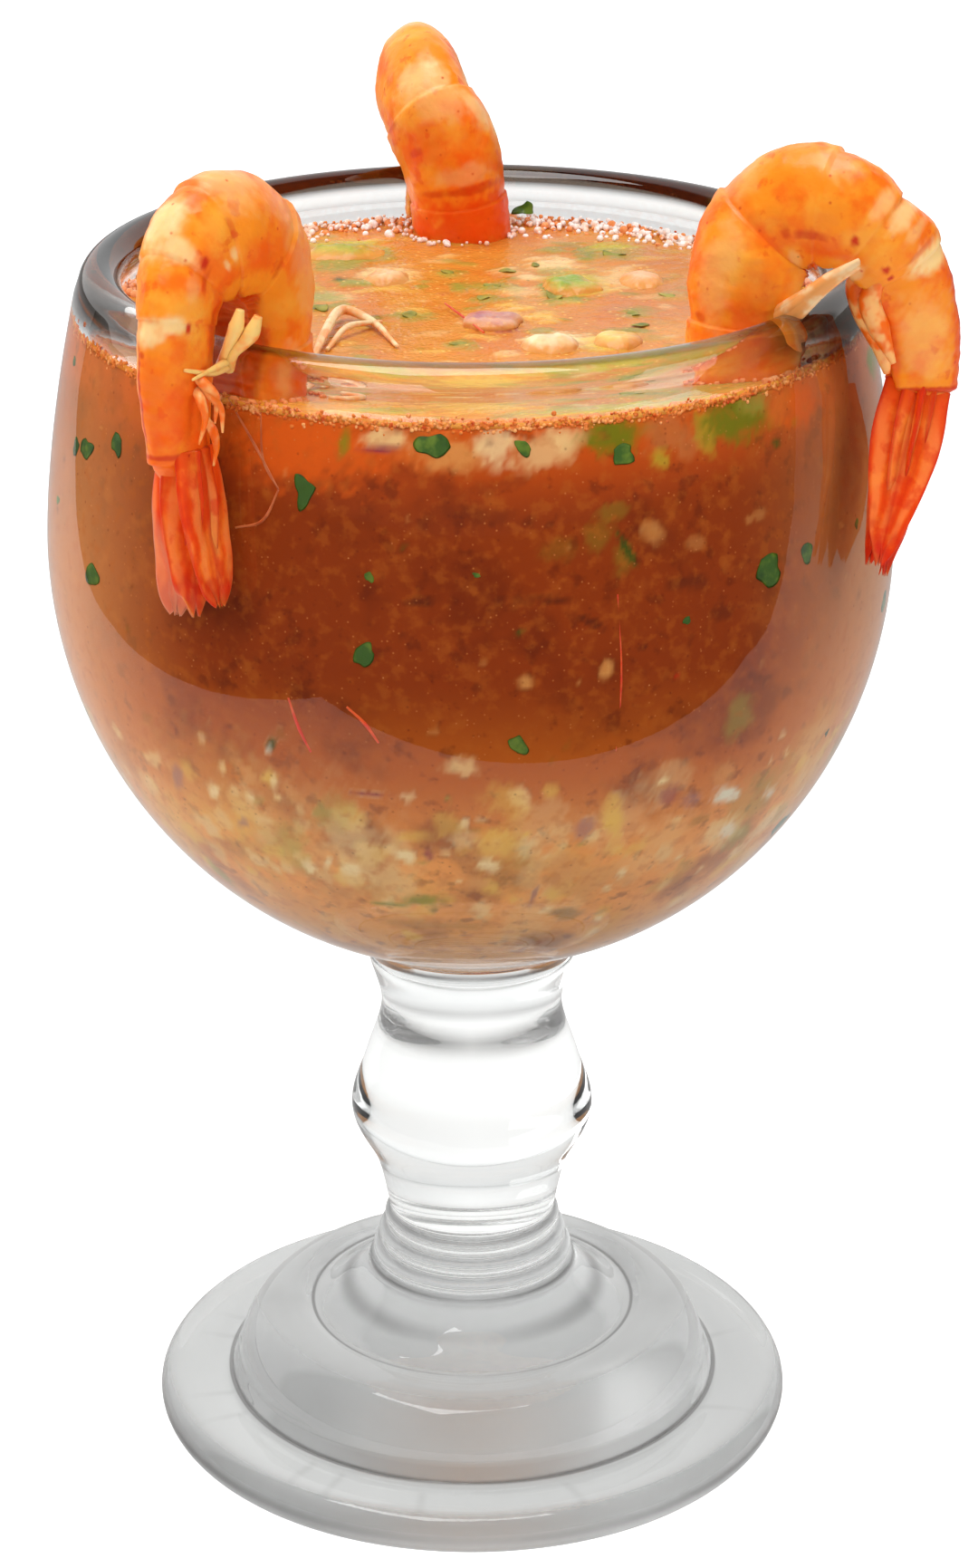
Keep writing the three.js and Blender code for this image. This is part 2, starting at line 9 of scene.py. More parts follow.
import bpy
import numpy as np
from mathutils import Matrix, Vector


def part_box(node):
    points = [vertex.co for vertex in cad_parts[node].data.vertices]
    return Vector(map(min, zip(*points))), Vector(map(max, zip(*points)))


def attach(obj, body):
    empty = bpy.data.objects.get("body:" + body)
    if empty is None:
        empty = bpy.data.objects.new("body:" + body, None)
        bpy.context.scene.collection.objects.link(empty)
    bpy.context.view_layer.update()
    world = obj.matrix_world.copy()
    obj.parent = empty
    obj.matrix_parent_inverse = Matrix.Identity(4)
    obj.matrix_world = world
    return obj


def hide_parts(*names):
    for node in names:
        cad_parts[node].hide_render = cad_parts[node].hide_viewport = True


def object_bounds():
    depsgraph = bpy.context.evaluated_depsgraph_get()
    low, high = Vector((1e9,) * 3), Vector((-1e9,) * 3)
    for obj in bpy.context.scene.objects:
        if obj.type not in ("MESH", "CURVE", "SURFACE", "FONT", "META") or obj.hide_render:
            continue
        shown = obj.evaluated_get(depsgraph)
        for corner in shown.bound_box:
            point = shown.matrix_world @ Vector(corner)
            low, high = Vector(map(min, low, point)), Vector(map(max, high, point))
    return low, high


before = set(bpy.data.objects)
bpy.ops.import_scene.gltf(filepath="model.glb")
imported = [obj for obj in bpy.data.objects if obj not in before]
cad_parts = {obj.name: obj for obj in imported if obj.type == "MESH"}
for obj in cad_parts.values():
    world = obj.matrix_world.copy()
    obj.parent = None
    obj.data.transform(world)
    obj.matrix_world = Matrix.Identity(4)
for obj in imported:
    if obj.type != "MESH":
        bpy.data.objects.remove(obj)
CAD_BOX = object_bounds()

# ---------------------------------------------------------------- sizes
MM = 0.001
GOBLET_LOW, GOBLET_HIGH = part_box("goblet")
AXIS = np.array([GOBLET_LOW.x + GOBLET_HIGH.x, GOBLET_LOW.y + GOBLET_HIGH.y, 0]) / 2 / MM

PUNT_RADIUS = 40.0
PUNT_DEPTH = 3.6
FOOT_RADIUS = 51.1
FOOT_EDGE = 3.5
BOWL_RADIUS = 63.9
WIDEST_HEIGHT = 150.0
BOWL_DEPTH = 67.0
BOWL_FLOOR = 88.5
WALL = 5.1
MOUTH_TAPER = 6.4
MOUTH_CURVE = 1.6
RIM_RADIUS = 57.9
RIM_HEIGHT = 192.8
RIM_ROLL = 3.25
RIM_FOOT_HEIGHT = 185.6  # where the wall inside starts to swell into the rolled rim
STEP_RADII = (15.0, 14.0, 13.0)
STEP_ROUNDING = 1.05
FIRST_STEP_HEIGHT = 27.6
STEP_PITCH = 3.1

# Creases of the goblet painted darker, as painted shade: radius, height, how wide and how much
PAINTED_CREASE_SHADE = [(39.5, 6.8, 0.5, 2.0), (50.9, 3.5, 1.3, 1.1), (28.4, 18.3, 0.45, 1.7),
           (38.0, 9.4, 0.35, 1.0), (26.0, 18.0, 0.4, 1.2), (15.4, 29.1, 0.6, 1.5),
           (14.4, 32.2, 0.6, 1.5), (13.6, 35.2, 0.7, 1.5), (16.6, 26.2, 0.7, 1.2),
           (20.5, 21.6, 2.4, 0.9), (14.3, 70.5, 2.4, 1.3), (17.0, 82.8, 0.9, 1.4),
           (14.6, 41.5, 5.0, 0.45)]

BROTH_LEVEL = 184.0
INTO_WALL = 0.15  # how far the broth reaches into the glass, so that no gap shows
FLAKE_LIFT = 0.5  # how far the solid broth's herb flakes stand above its level

# How many sides the lathed surfaces have
GOBLET_SIDES = 210
BROTH_SIDES = 630
SURFACE_SIDES = 420

# How many seeded things each scatter has
SUNK_PIECES = 560
SUNK_SPECKS = 150
WATERLINE_PIECES = 26
SURFACE_PIECES = 170
FROTH_BUBBLES = 2000
RING_BUBBLES = 60
WATERLINE_BEADS = 2600
GLASS_LEAVES = 30

# A shrimp's plates from its tail root back to its cut end: their lengths, and the depth and width
# of the body at each edge
PLATE_LENGTHS = [18.5, 5.2, 5.4, 7.6, 12.4]
DEPTHS = np.array([11, 14.4, 14.8, 18.6, 18.4, 15.8, 14])
WIDTHS = np.array([7.6, 9.8, 12, 14.2, 15, 15.6, 14.4])
INTO_FAN = 4.0  # how far the body runs on between the fan's blades
BELLY_SHARE = 0.38  # of the depth, below the guide line
BELLY_GROOVE = 1.8
SHRIMP_SUNK = 10.0  # how deep the cut end lies under the broth's level

# How each shrimp hangs: the azimuths of its parts, its arch over the rim, the radius of its cut
# end, its tail root and tip as radius and height, how its fan is spread, turned and set, the seed
# of its unevenness, and its side that shows. A mark is its middle and half length along the body
# from the cut end, its middle and half width in degrees from the back towards the side that
# shows, and how much it covers.
SHRIMP = {
    "shrimp_left": {
        "azimuth": {"head": -131, "crown": -129.8, "leg": -127.5, "tip": -125},
        "arch": {"radius": 55.2, "reach": 8.2, "lean": 0.6, "foot": 194.8, "rise": 9.4},
        "head_radius": 46.4,
        "root": (64.8, 178.5),
        "tip": (66.6, 155),
        "fan": {"spread": 1.0, "narrowing": 0.45, "twist": -24, "shift": -1.2, "clear": (6.8, -0.5)},
        "seed": 3,
        "side": -1,
        "pale": [(47.8, 1.5, -2, 32, 1.0), (47.0, 0.9, 32, 26, 1.0), (39.4, 2.2, -4, 28, 1.0),
                 (40.6, 1.1, 28, 26, 0.9), (34.2, 2.2, 18, 34, 0.5),
                 (36.6, 0.7, 77, 7, 0.8), (38.2, 0.4, 80, 4, 0.7), (24, 5, 66, 16, 0.3),
                 (14, 4, 96, 16, 0.35), (30, 3, 40, 22, 0.25), (43.5, 1.6, 52, 10, 0.25)],
        "red": [(56, 8.6, -22, 3.4, 1.0), (63.9, 0.5, 0, 90, 0.75), (40.3, 0.7, 59, 5, 1.0),
                (47.1, 0.7, 56, 4, 1.0), (50, 0.4, -16, 8, 0.7), (36, 0.3, 62, 12, 0.5),
                (42, 2.4, 66, 2.4, 0.6), (28.6, 0.4, 88, 12, 0.4)],
        "deep": [(58, 8, 70, 60, 0.75), (57, 8, 8, 50, 0.55), (47, 6, 100, 14, 0.8),
                 (65, 3, 0, 90, 0.7), (33, 3, 86, 14, 0.5), (12, 7, 30, 60, 0.4),
                 (40, 6, 92, 10, 0.6)],
    },
    "shrimp_back": {
        "azimuth": {"head": 93, "crown": 98.8, "leg": 96, "tip": 95},
        "arch": {"radius": 56.4, "reach": 8.2, "lean": 1.0, "foot": 194.4, "rise": 9.2},
        "head_radius": 48.4,
        "root": (66.6, 178.5),
        "tip": (67.4, 155),
        "fan": {"spread": 1.0, "narrowing": 0.5},
        "seed": 5,
        "side": -1,
        # the back shrimp's pale marks: partly cream at its plate joints, partly painted highlight on
        # its upper side
        "pale": [(29.1, 1.5, 24, 34, 0.75), (29.4, 0.9, 10, 8, 0.9), (27.2, 1.8, 22, 26, 0.4),
                 (25.6, 1.8, -14, 16, 0.7), (20.4, 1.2, 30, 40, 0.35), (41, 1.4, 10, 50, 0.7),
                 (47, 1.2, 10, 50, 0.9), (35.6, 1.6, 14, 40, 0.6), (24, 1.6, -34, 12, 0.5)],
        "red": [(18.4, 0.7, 30, 60, 0.6), (27.8, 0.4, 84, 10, 0.6), (36, 0.6, 78, 6, 0.8),
                (55, 9, 0, 4, 0.8), (24.6, 0.5, 76, 8, 0.5), (31, 0.5, 60, 6, 0.4)],
        "deep": [(12, 6.4, 20, 120, 1.0), (24.6, 2.6, 62, 24, 0.6), (22.5, 2.4, 20, 20, 0.45),
                 (60, 8, 40, 90, 0.7)],
    },
    "shrimp_right": {
        "azimuth": {"head": -30, "crown": -25, "leg": -20.5, "tip": -33},
        "arch": {"radius": 56.3, "reach": 8.6, "lean": 1.2, "foot": 194.2, "rise": 9.3},
        "head_radius": 47.0,
        "root": (67.2, 180),
        "tip": (66.6, 155),
        "fan": {"spread": 0.55, "narrowing": 0.8, "twist": 28, "drop": 1.0, "start": 0.86},
        "seed": 8,
        "side": 1,
        "pale": [(46.0, 1.5, 40, 34, 1.0), (41.4, 0.9, 20, 34, 0.8), (39.6, 0.7, 34, 24, 0.5),
                 (43, 0.5, 30, 26, 0.4), (42, 0.7, 120, 22, 0.7), (35.6, 1.6, 26, 20, 0.35),
                 (21, 6, 46, 18, 0.3), (56, 7, 74, 34, 0.22), (29, 2, 20, 24, 0.25),
                 (14, 3, 130, 12, 0.5), (30, 2, 112, 12, 0.35)],
        "red": [(56.5, 8.5, 6, 10, 0.75), (39.5, 0.7, 80, 5, 1.0), (43.6, 0.6, 86, 4, 1.0),
                (44.9, 0.4, 88, 4, 1.0), (34.5, 2.6, 88, 4, 0.7), (31, 0.8, 84, 5, 0.6),
                (64.2, 0.5, 60, 90, 0.9), (16, 0.7, 30, 8, 0.6), (44.6, 0.25, 40, 36, 0.4)],
        "deep": [(57, 9, 18, 16, 0.8), (57, 9, 122, 16, 0.7), (19, 6, 82, 18, 0.45),
                 (37, 4, 96, 14, 0.6), (28, 1.2, 60, 60, 0.35), (9, 3, 60, 90, 0.4)],
    },
}

# The middle blade of a tail fan and those of one side; the other side mirrors them
FAN_BLADES = [
    {"sideways": 0.0, "lift": 0.12, "roll": 0, "length": 0.66, "width": 6.4, "thickness": 3.6},
    {"sideways": 0.05, "lift": 0.09, "roll": 26, "length": 0.98, "width": 9, "thickness": 2.2},
    {"sideways": 0.13, "lift": 0.02, "roll": 60, "length": 0.94, "width": 11.5, "thickness": 2.0},
]

# Place, size, turn, share that stands above the broth, roundness and finish of each chunk afloat
FLOATING = {
    "avocado_slice": ((-20, 33), (15, 9, 7), 8, 0.22, 0.75, "avocado"),
    "avocado_cube": ((15, 14), (9.5, 10, 8), 25, 0.2, 0.5, "avocado"),
    "onion_square": ((3.1, -5), (8.6, 8, 3.2), -12, 0.4, 0.45, "purple_onion"),
    "pale_chunk": ((11.6, -16.8), (10, 9.5, 8), 20, 0.24, 0.9, "pale_pieces"),
    "yellow_chunk": ((21.3, -14.6), (7.6, 8.4, 7), -15, 0.2, 0.6, "pale_pieces"),
    "far_chunk": ((-12.8, 19), (9.5, 9, 7), 35, 0.18, 0.8, "pale_pieces"),
    "side_chunk": ((26, 17.5), (8, 9, 7), 10, 0.18, 0.7, "pale_pieces"),
}


# ---------------------------------------------------------------- colours
def shade(red, green, blue):
    """A colour given as screen values from 0 to 255, as linear light with full alpha."""
    screen = np.array([red, green, blue]) / 255
    linear = np.where(screen <= 0.04045, screen / 12.92, ((screen + 0.055) / 1.055) ** 2.4)
    return (*linear.tolist(), 1.0)


TINTS = {
    "avocado": shade(194, 178, 48),
    "green": shade(116, 136, 22),
    "fern": shade(120, 116, 10),
    "olive": shade(140, 104, 26),
    "pale": shade(246, 206, 140),
    "cream": shade(252, 228, 168),
    "white": shade(236, 232, 206),
    "yellow": shade(242, 194, 84),
    "amber": shade(255, 170, 44),
    "tan": shade(228, 158, 84),
    "flame": shade(238, 98, 14),
    "orange": shade(228, 116, 40),
    "dusk": shade(196, 112, 54),
    "moss": shade(158, 148, 56),
    "purple": shade(138, 42, 66),
    "lilac": shade(158, 112, 112),
    "herb": shade(44, 78, 16),
    "dark": shade(92, 32, 10),
    "red": shade(206, 38, 14),
}


# ---------------------------------------------------------------- numbers
def smooth(value, low, high):
    """0 below low, 1 above high, and an even S between them."""
    share = np.clip((value - low) / (high - low), 0, 1)
    return share * share * (3 - 2 * share)


def mix(low, high, share):
    """The value at a share of the way from low to high."""
    return low + (high - low) * share


def unit(vectors):
    """Vectors at length one."""
    return vectors / np.maximum(np.linalg.norm(vectors, axis=-1, keepdims=True), 1e-9)


def polar(azimuth, radius, height):
    """The point at an azimuth in degrees, a distance from the goblet's axis, and a height."""
    angle = np.radians(azimuth)
    around = np.broadcast_arrays(radius * np.cos(angle), radius * np.sin(angle), height)
    return np.stack(around, -1).astype(float)


def ripple(points, size, seed, waves=16):
    """Smooth unevenness from about -1 to 1: the sum of cosine waves in random directions, with
    wavelengths near the given size."""
    random = np.random.default_rng(seed)
    directions = unit(random.normal(size=(waves, 3)))
    numbers = directions * (2 * np.pi / (size * random.uniform(0.6, 1.7, (waves, 1))))
    phases = random.uniform(0, 2 * np.pi, waves)
    return np.cos(points @ numbers.T + phases).sum(-1) / (waves * 0.4)


def spline(corners, steps=40, power=0.5):
    """A curve through the corners: a cubic between each two, whose slope at a corner comes from
    both its neighbours, weighed by the distances to them raised to the power."""
    corners = np.asarray(corners, float)
    first, last = 2 * corners[0] - corners[1], 2 * corners[-1] - corners[-2]
    along = np.vstack([first, corners, last])
    share = np.linspace(0, 1, steps, endpoint=False)[:, None]
    spans = []
    for a, b, c, d in zip(along[:-3], along[1:-2], along[2:-1], along[3:]):
        before, here, after = (np.linalg.norm(q - p) ** power for p, q in ((a, b), (b, c), (c, d)))
        leave = here * ((b - a) / before - (c - a) / (before + here) + (c - b) / here)
        arrive = here * ((c - b) / here - (d - b) / (here + after) + (d - c) / after)
        bend = 3 * (c - b) - 2 * leave - arrive
        twist = 2 * (b - c) + leave + arrive
        spans.append(b + leave * share + bend * share**2 + twist * share**3)
    return np.vstack([*spans, corners[-1:]])


def distances_along(path):
    """How far along a path each of its points is."""
    return np.concatenate([[0], np.cumsum(np.linalg.norm(np.diff(path, axis=0), axis=1))])


def points_at(path, distances):
    """The points at given distances along a path."""
    reached = distances_along(path)
    return np.stack([np.interp(distances, reached, part) for part in path.T], -1)


# ---------------------------------------------------------------- surfaces
class Surface:
    """Points, faces and named values at the points, of one piece or several."""

    def __init__(self, points, faces, values):
        self.points, self.faces, self.values = points, faces, values


def facing_out(surface):
    """A closed surface with its faces turned outwards: they are reversed where the volume that
    they enclose, summed as tetrahedra from one point, comes out negative."""
    volume = 0.0
    points = surface.points - surface.points.mean(0)
    for corners in surface.faces:
        for k in range(1, corners.shape[1] - 1):
            a, b, c = points[corners[:, 0]], points[corners[:, k]], points[corners[:, k + 1]]
            volume += np.einsum("ij,ij->", a, np.cross(b, c))
    if volume < 0:
        surface.faces = [corners[:, ::-1] for corners in surface.faces]
    return surface


def grid(rows, **values):
    """A closed surface over rows of points that each close on themselves. A fan to the middle of
    the first row and of the last closes the ends, where a value is its row's mean."""
    count, sides = rows.shape[:2]
    index = np.arange(count * sides).reshape(count, sides)
    right = np.roll(index, -1, 1)
    quads = np.stack([index[:-1], right[:-1], right[1:], index[1:]], -1).reshape(-1, 4)
    start, end = count * sides, count * sides + 1
    first = np.stack([np.full(sides, start), right[0], index[0]], -1)
    last = np.stack([np.full(sides, end), index[-1], right[-1]], -1)
    points = np.vstack([rows.reshape(-1, 3), rows[0].mean(0), rows[-1].mean(0)])
    spread = {}
    for name, value in values.items():
        full = np.broadcast_to(value, (count, sides, *np.shape(value)[2:]))
        flat = full.reshape(count * sides, *full.shape[2:])
        spread[name] = np.concatenate([flat, full[:1].mean(1), full[-1:].mean(1)])
    return facing_out(Surface(points, [quads, np.vstack([first, last])], spread))


def joined(surfaces):
    """Several surfaces as one. A value that one of them lacks is 0 there."""
    names = {name: value.shape[1:] for s in surfaces for name, value in s.values.items()}
    starts = np.cumsum([0] + [len(s.points) for s in surfaces])
    faces = {3: [], 4: []}
    for surface, start in zip(surfaces, starts):
        for corners in surface.faces:
            faces[corners.shape[1]].append(corners + start)
    values = {}
    for name, tail in names.items():
        parts = [s.values.get(name, np.zeros((len(s.points), *tail))) for s in surfaces]
        values[name] = np.concatenate(parts)
    points = np.vstack([s.points for s in surfaces])
    return Surface(points, [np.vstack(found) for found in faces.values() if found], values)


def lathe(profile, sides, **values):
    """A profile of (radius, height) turned about the goblet's axis."""
    azimuths = np.linspace(0, 360, sides, endpoint=False)
    rows = polar(azimuths[None], profile[:, :1], profile[:, 1:])
    return grid(rows, **values)


def tube(path, radii, sides=10):
    """A round tube along a path, with its radius at each point. Its section stays square to the
    path, turned from a fixed direction that no limb runs along."""
    along = unit(np.gradient(path, axis=0))
    across = unit(np.cross(along, [0.31, 0.22, 0.93]))
    upward = np.cross(across, along)
    angles = np.linspace(0, 2 * np.pi, sides, endpoint=False)[None, :, None]
    ring = across[:, None] * np.cos(angles) + upward[:, None] * np.sin(angles)
    return grid(path[:, None] + ring * np.asarray(radii)[:, None, None])


def ball(centre, radii, power=1.0, rows=16, sides=24, turn=0.0):
    """An ellipsoid drawn out towards a box: the sine and cosine of both angles are raised to the
    power, 1 for an ellipsoid and less for sharper corners."""
    def shaped(value):
        return np.sign(value) * np.abs(value) ** power

    up = np.linspace(-0.5, 0.5, rows + 2)[1:-1, None] * np.pi
    around = np.linspace(0, 2 * np.pi, sides, endpoint=False)[None]
    level = shaped(np.cos(up))
    x = level * shaped(np.cos(around)) * radii[0]
    y = level * shaped(np.sin(around)) * radii[1]
    z = shaped(np.sin(up)) * np.ones_like(around) * radii[2]
    c, s = math.cos(math.radians(turn)), math.sin(math.radians(turn))
    return grid(np.stack([c * x - s * y, s * x + c * y, z], -1) + np.asarray(centre, float))


# ---------------------------------------------------------------- pieces
def make_piece(name, surface, material, slot, *nodes):
    """The mesh object of a surface, smooth, riding on the goblet's body and standing for nodes."""
    mesh = bpy.data.meshes.new(name)
    points = (surface.points + AXIS) * MM
    corners = np.concatenate([part.ravel() for part in surface.faces]).astype(np.int32)
    sizes = np.concatenate([np.full(len(part), part.shape[1]) for part in surface.faces])
    starts = np.concatenate([[0], np.cumsum(sizes)[:-1]]).astype(np.int32)
    mesh.vertices.add(len(points))
    mesh.vertices.foreach_set("co", points.astype(np.float32).ravel())
    mesh.loops.add(len(corners))
    mesh.loops.foreach_set("vertex_index", corners)
    mesh.polygons.add(len(starts))
    mesh.polygons.foreach_set("loop_start", starts)
    mesh.polygons.foreach_set("use_smooth", np.ones(len(starts), bool))
    for label, value in surface.values.items():
        if value.ndim == 2:
            colours = np.concatenate([value, np.ones((len(value), 1))], 1)
            attribute = mesh.attributes.new(label, "FLOAT_COLOR", "POINT")
            attribute.data.foreach_set("color", colours.astype(np.float32).ravel())
        else:
            attribute = mesh.attributes.new(label, "FLOAT", "POINT")
            attribute.data.foreach_set("value", value.astype(np.float32))
    mesh.update(calc_edges=True)
    mesh.validate()
    mesh.materials.append(material)
    piece = bpy.data.objects.new(name, mesh)
    bpy.context.scene.collection.objects.link(piece)
    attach(piece, "root")
    if nodes:
        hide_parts(*nodes)


# ---------------------------------------------------------------- shader parts
def add(tree, kind, **settings):
    """A node of a kind. A setting named after an input sets that input, by its place number where
    the name is in_ and a number, and any other sets the node's own property."""
    node = tree.nodes.new(kind)
    for name, value in settings.items():
        if name.startswith("in_"):
            node.inputs[int(name[3:])].default_value = value
        else:
            setattr(node, name, value)
    return node


def link(tree, source, target):
    """Joins an output socket to an input socket."""
    tree.links.new(source, target)


def new_group(name, inputs, output):
    """An empty node group with named number inputs, given with their default values, and an
    output."""
    tree = bpy.data.node_groups.new(name, "ShaderNodeTree")
    for label, value in inputs.items():
        socket = tree.interface.new_socket(label, in_out="INPUT", socket_type="NodeSocketFloat")
        socket.default_value = value
    tree.interface.new_socket(output, in_out="OUTPUT", socket_type="NodeSocketFloat")
    return tree, add(tree, "NodeGroupInput"), add(tree, "NodeGroupOutput")


def mottle_group():
    """Cloudy patches: noise on the piece's own place, stretched so that Low becomes 0 and High 1."""
    values = {"Scale": 100.0, "Detail": 3.0, "Low": 0.4, "High": 0.6}
    tree, start, end = new_group("mottle", values, "Mask")
    place = add(tree, "ShaderNodeTexCoord")
    noise = add(tree, "ShaderNodeTexNoise")
    spread = add(tree, "ShaderNodeMapRange", interpolation_type="SMOOTHSTEP")
    link(tree, place.outputs["Object"], noise.inputs["Vector"])
    link(tree, start.outputs["Scale"], noise.inputs["Scale"])
    link(tree, start.outputs["Detail"], noise.inputs["Detail"])
    link(tree, noise.outputs["Fac"], spread.inputs["Value"])
    link(tree, start.outputs["Low"], spread.inputs["From Min"])
    link(tree, start.outputs["High"], spread.inputs["From Max"])
    link(tree, spread.outputs["Result"], end.inputs["Mask"])
    return tree


def speckle_group():
    """Scattered grains: a soft dot round the middle of each cell whose random number passes Share."""
    tree, start, end = new_group("speckle", {"Scale": 800.0, "Size": 0.25, "Share": 0.7}, "Mask")
    place = add(tree, "ShaderNodeTexCoord")
    cells = add(tree, "ShaderNodeTexVoronoi")
    apart = add(tree, "ShaderNodeSeparateColor")
    dot = add(tree, "ShaderNodeMapRange", interpolation_type="SMOOTHSTEP")
    dot.inputs["To Min"].default_value = 1.0
    dot.inputs["To Max"].default_value = 0.0
    chosen = add(tree, "ShaderNodeMath", operation="GREATER_THAN")
    kept = add(tree, "ShaderNodeMath", operation="MULTIPLY")
    link(tree, place.outputs["Object"], cells.inputs["Vector"])
    link(tree, start.outputs["Scale"], cells.inputs["Scale"])
    link(tree, cells.outputs["Distance"], dot.inputs["Value"])
    link(tree, start.outputs["Size"], dot.inputs["From Max"])
    link(tree, cells.outputs["Color"], apart.inputs["Color"])
    link(tree, apart.outputs["Red"], chosen.inputs[0])
    link(tree, start.outputs["Share"], chosen.inputs[1])
    link(tree, dot.outputs["Result"], kept.inputs[0])
    link(tree, chosen.outputs[0], kept.inputs[1])
    link(tree, kept.outputs[0], end.inputs["Mask"])
    return tree


def relief_group():
    """Fine wet relief: coarse noise and finer noise added as heights."""
    values = {"Coarse": 300.0, "Fine": 1400.0, "Fine Share": 0.35}
    tree, start, end = new_group("wet_relief", values, "Height")
    place = add(tree, "ShaderNodeTexCoord")
    coarse = add(tree, "ShaderNodeTexNoise")
    fine = add(tree, "ShaderNodeTexNoise")
    total = add(tree, "ShaderNodeMath", operation="MULTIPLY_ADD")
    for noise, label in ((coarse, "Coarse"), (fine, "Fine")):
        link(tree, place.outputs["Object"], noise.inputs["Vector"])
        link(tree, start.outputs[label], noise.inputs["Scale"])
    link(tree, fine.outputs["Fac"], total.inputs[0])
    link(tree, start.outputs["Fine Share"], total.inputs[1])
    link(tree, coarse.outputs["Fac"], total.inputs[2])
    link(tree, total.outputs[0], end.inputs["Height"])
    return tree


MOTTLE = mottle_group()
SPECKLE = speckle_group()
RELIEF = relief_group()


def place_group(tree, group, **inputs):
    """A node group placed in a material, with its inputs set. In their names an underscore stands
    for a space, as it does where a finish is started."""
    node = add(tree, "ShaderNodeGroup", node_tree=group)
    for name, value in inputs.items():
        node.inputs[name.replace("_", " ")].default_value = value
    return node


class Finish:
    """A material in the making: its Principled shader and the colour worked out so far."""

    def __init__(self, name, colour, **values):
        self.material = bpy.data.materials.new(name)
        self.material.use_nodes = True
        self.tree = self.material.node_tree
        self.shader = self.tree.nodes["Principled BSDF"]
        self.shader.inputs["Base Color"].default_value = colour
        self.colour = None
        self.flat = colour
        for label, value in values.items():
            self.shader.inputs[label.replace("_", " ")].default_value = value

    def soften(self, weight, depth, radius=(1.0, 0.2, 0.1)):
        """Lets light spread under the skin, as far as a depth in millimetres."""
        self.shader.inputs["Subsurface Weight"].default_value = weight
        self.shader.inputs["Subsurface Scale"].default_value = depth * MM
        self.shader.inputs["Subsurface Radius"].default_value = radius

    def value(self, name):
        """The output of a named value at the points."""
        return add(self.tree, "ShaderNodeAttribute", attribute_name=name).outputs["Fac"]

    def tint(self, name):
        """The output of a named colour at the points."""
        return add(self.tree, "ShaderNodeAttribute", attribute_name=name).outputs["Color"]

    def cover(self, mask, colour, amount=1.0):
        """Lays a colour, or a colour output, over what is there, as far as the mask says."""
        blend = add(self.tree, "ShaderNodeMix", data_type="RGBA", clamp_factor=True)
        factor, below, above = blend.inputs[0], blend.inputs[6], blend.inputs[7]
        if amount != 1.0:
            part = add(self.tree, "ShaderNodeMath", operation="MULTIPLY", in_1=amount)
            link(self.tree, mask, part.inputs[0])
            mask = part.outputs[0]
        link(self.tree, mask, factor)
        if self.colour is None:
            below.default_value = self.flat
        else:
            link(self.tree, self.colour, below)
        if isinstance(colour, tuple):
            above.default_value = colour
        else:
            link(self.tree, colour, above)
        self.colour = blend.outputs[2]
        link(self.tree, self.colour, self.shader.inputs["Base Color"])

    def mottle(self, colour, amount=1.0, **inputs):
        """Covers cloudy patches with a colour."""
        self.cover(place_group(self.tree, MOTTLE, **inputs).outputs["Mask"], colour, amount)

    def speckle(self, colour, amount=1.0, **inputs):
        """Covers scattered grains with a colour."""
        self.cover(place_group(self.tree, SPECKLE, **inputs).outputs["Mask"], colour, amount)

    def by_height(self, colour, low, high, amount=1.0):
        """Covers from nothing at one height in millimetres to the whole at another."""
        place = add(self.tree, "ShaderNodeTexCoord")
        apart = add(self.tree, "ShaderNodeSeparateXYZ")
        spread = add(self.tree, "ShaderNodeMapRange", interpolation_type="SMOOTHSTEP")
        spread.inputs["From Min"].default_value = low * MM
        spread.inputs["From Max"].default_value = high * MM
        link(self.tree, place.outputs["Object"], apart.inputs[0])
        link(self.tree, apart.outputs["Z"], spread.inputs["Value"])
        self.cover(spread.outputs["Result"], colour, amount)

    def relief(self, depth, strength, **inputs):
        """Fine wet relief, up to a depth in millimetres."""
        group = place_group(self.tree, RELIEF, **inputs)
        bump = add(self.tree, "ShaderNodeBump")
        bump.inputs["Strength"].default_value = strength
        bump.inputs["Distance"].default_value = depth * MM
        link(self.tree, group.outputs["Height"], bump.inputs["Height"])
        link(self.tree, bump.outputs["Normal"], self.shader.inputs["Normal"])
        return self

    def pass_lamps(self, tint):
        """Lets the light of lamps through glass to what is behind it, tinted."""
        blend = add(self.tree, "ShaderNodeMixShader")
        clear = add(self.tree, "ShaderNodeBsdfTransparent")
        clear.inputs["Color"].default_value = tint
        path = add(self.tree, "ShaderNodeLightPath")
        link(self.tree, path.outputs["Is Shadow Ray"], blend.inputs[0])
        link(self.tree, self.shader.outputs[0], blend.inputs[1])
        link(self.tree, clear.outputs[0], blend.inputs[2])
        link(self.tree, blend.outputs[0], self.tree.nodes["Material Output"].inputs["Surface"])
        return self


# ---------------------------------------------------------------- finishes
def glass_finish():
    """Thick clear pressed glass: slightly wavy, with painted shade in its foot and creases, a
    painted dark reflection where the rim is rolled, and ground matte underneath."""
    finish = Finish("clear_glass", shade(250, 252, 251), Roughness=0.0, IOR=1.5)
    finish.shader.inputs["Transmission Weight"].default_value = 1.0
    # painted shade in the foot, under the foot and along the creases
    finish.cover(finish.value("painted_glass_shade"), shade(100, 99, 98))
    # painted dark reflection on the rolled rim
    finish.cover(finish.value("painted_rim_dark"), shade(42, 32, 24))
    ground = add(finish.tree, "ShaderNodeMath", operation="MULTIPLY", in_1=0.4)
    link(finish.tree, finish.value("matte"), ground.inputs[0])
    link(finish.tree, ground.outputs[0], finish.shader.inputs["Roughness"])
    finish.relief(0.25, 0.2, Coarse=55.0, Fine=160.0, Fine_Share=0.2)
    return finish.pass_lamps(shade(240, 240, 240)).material


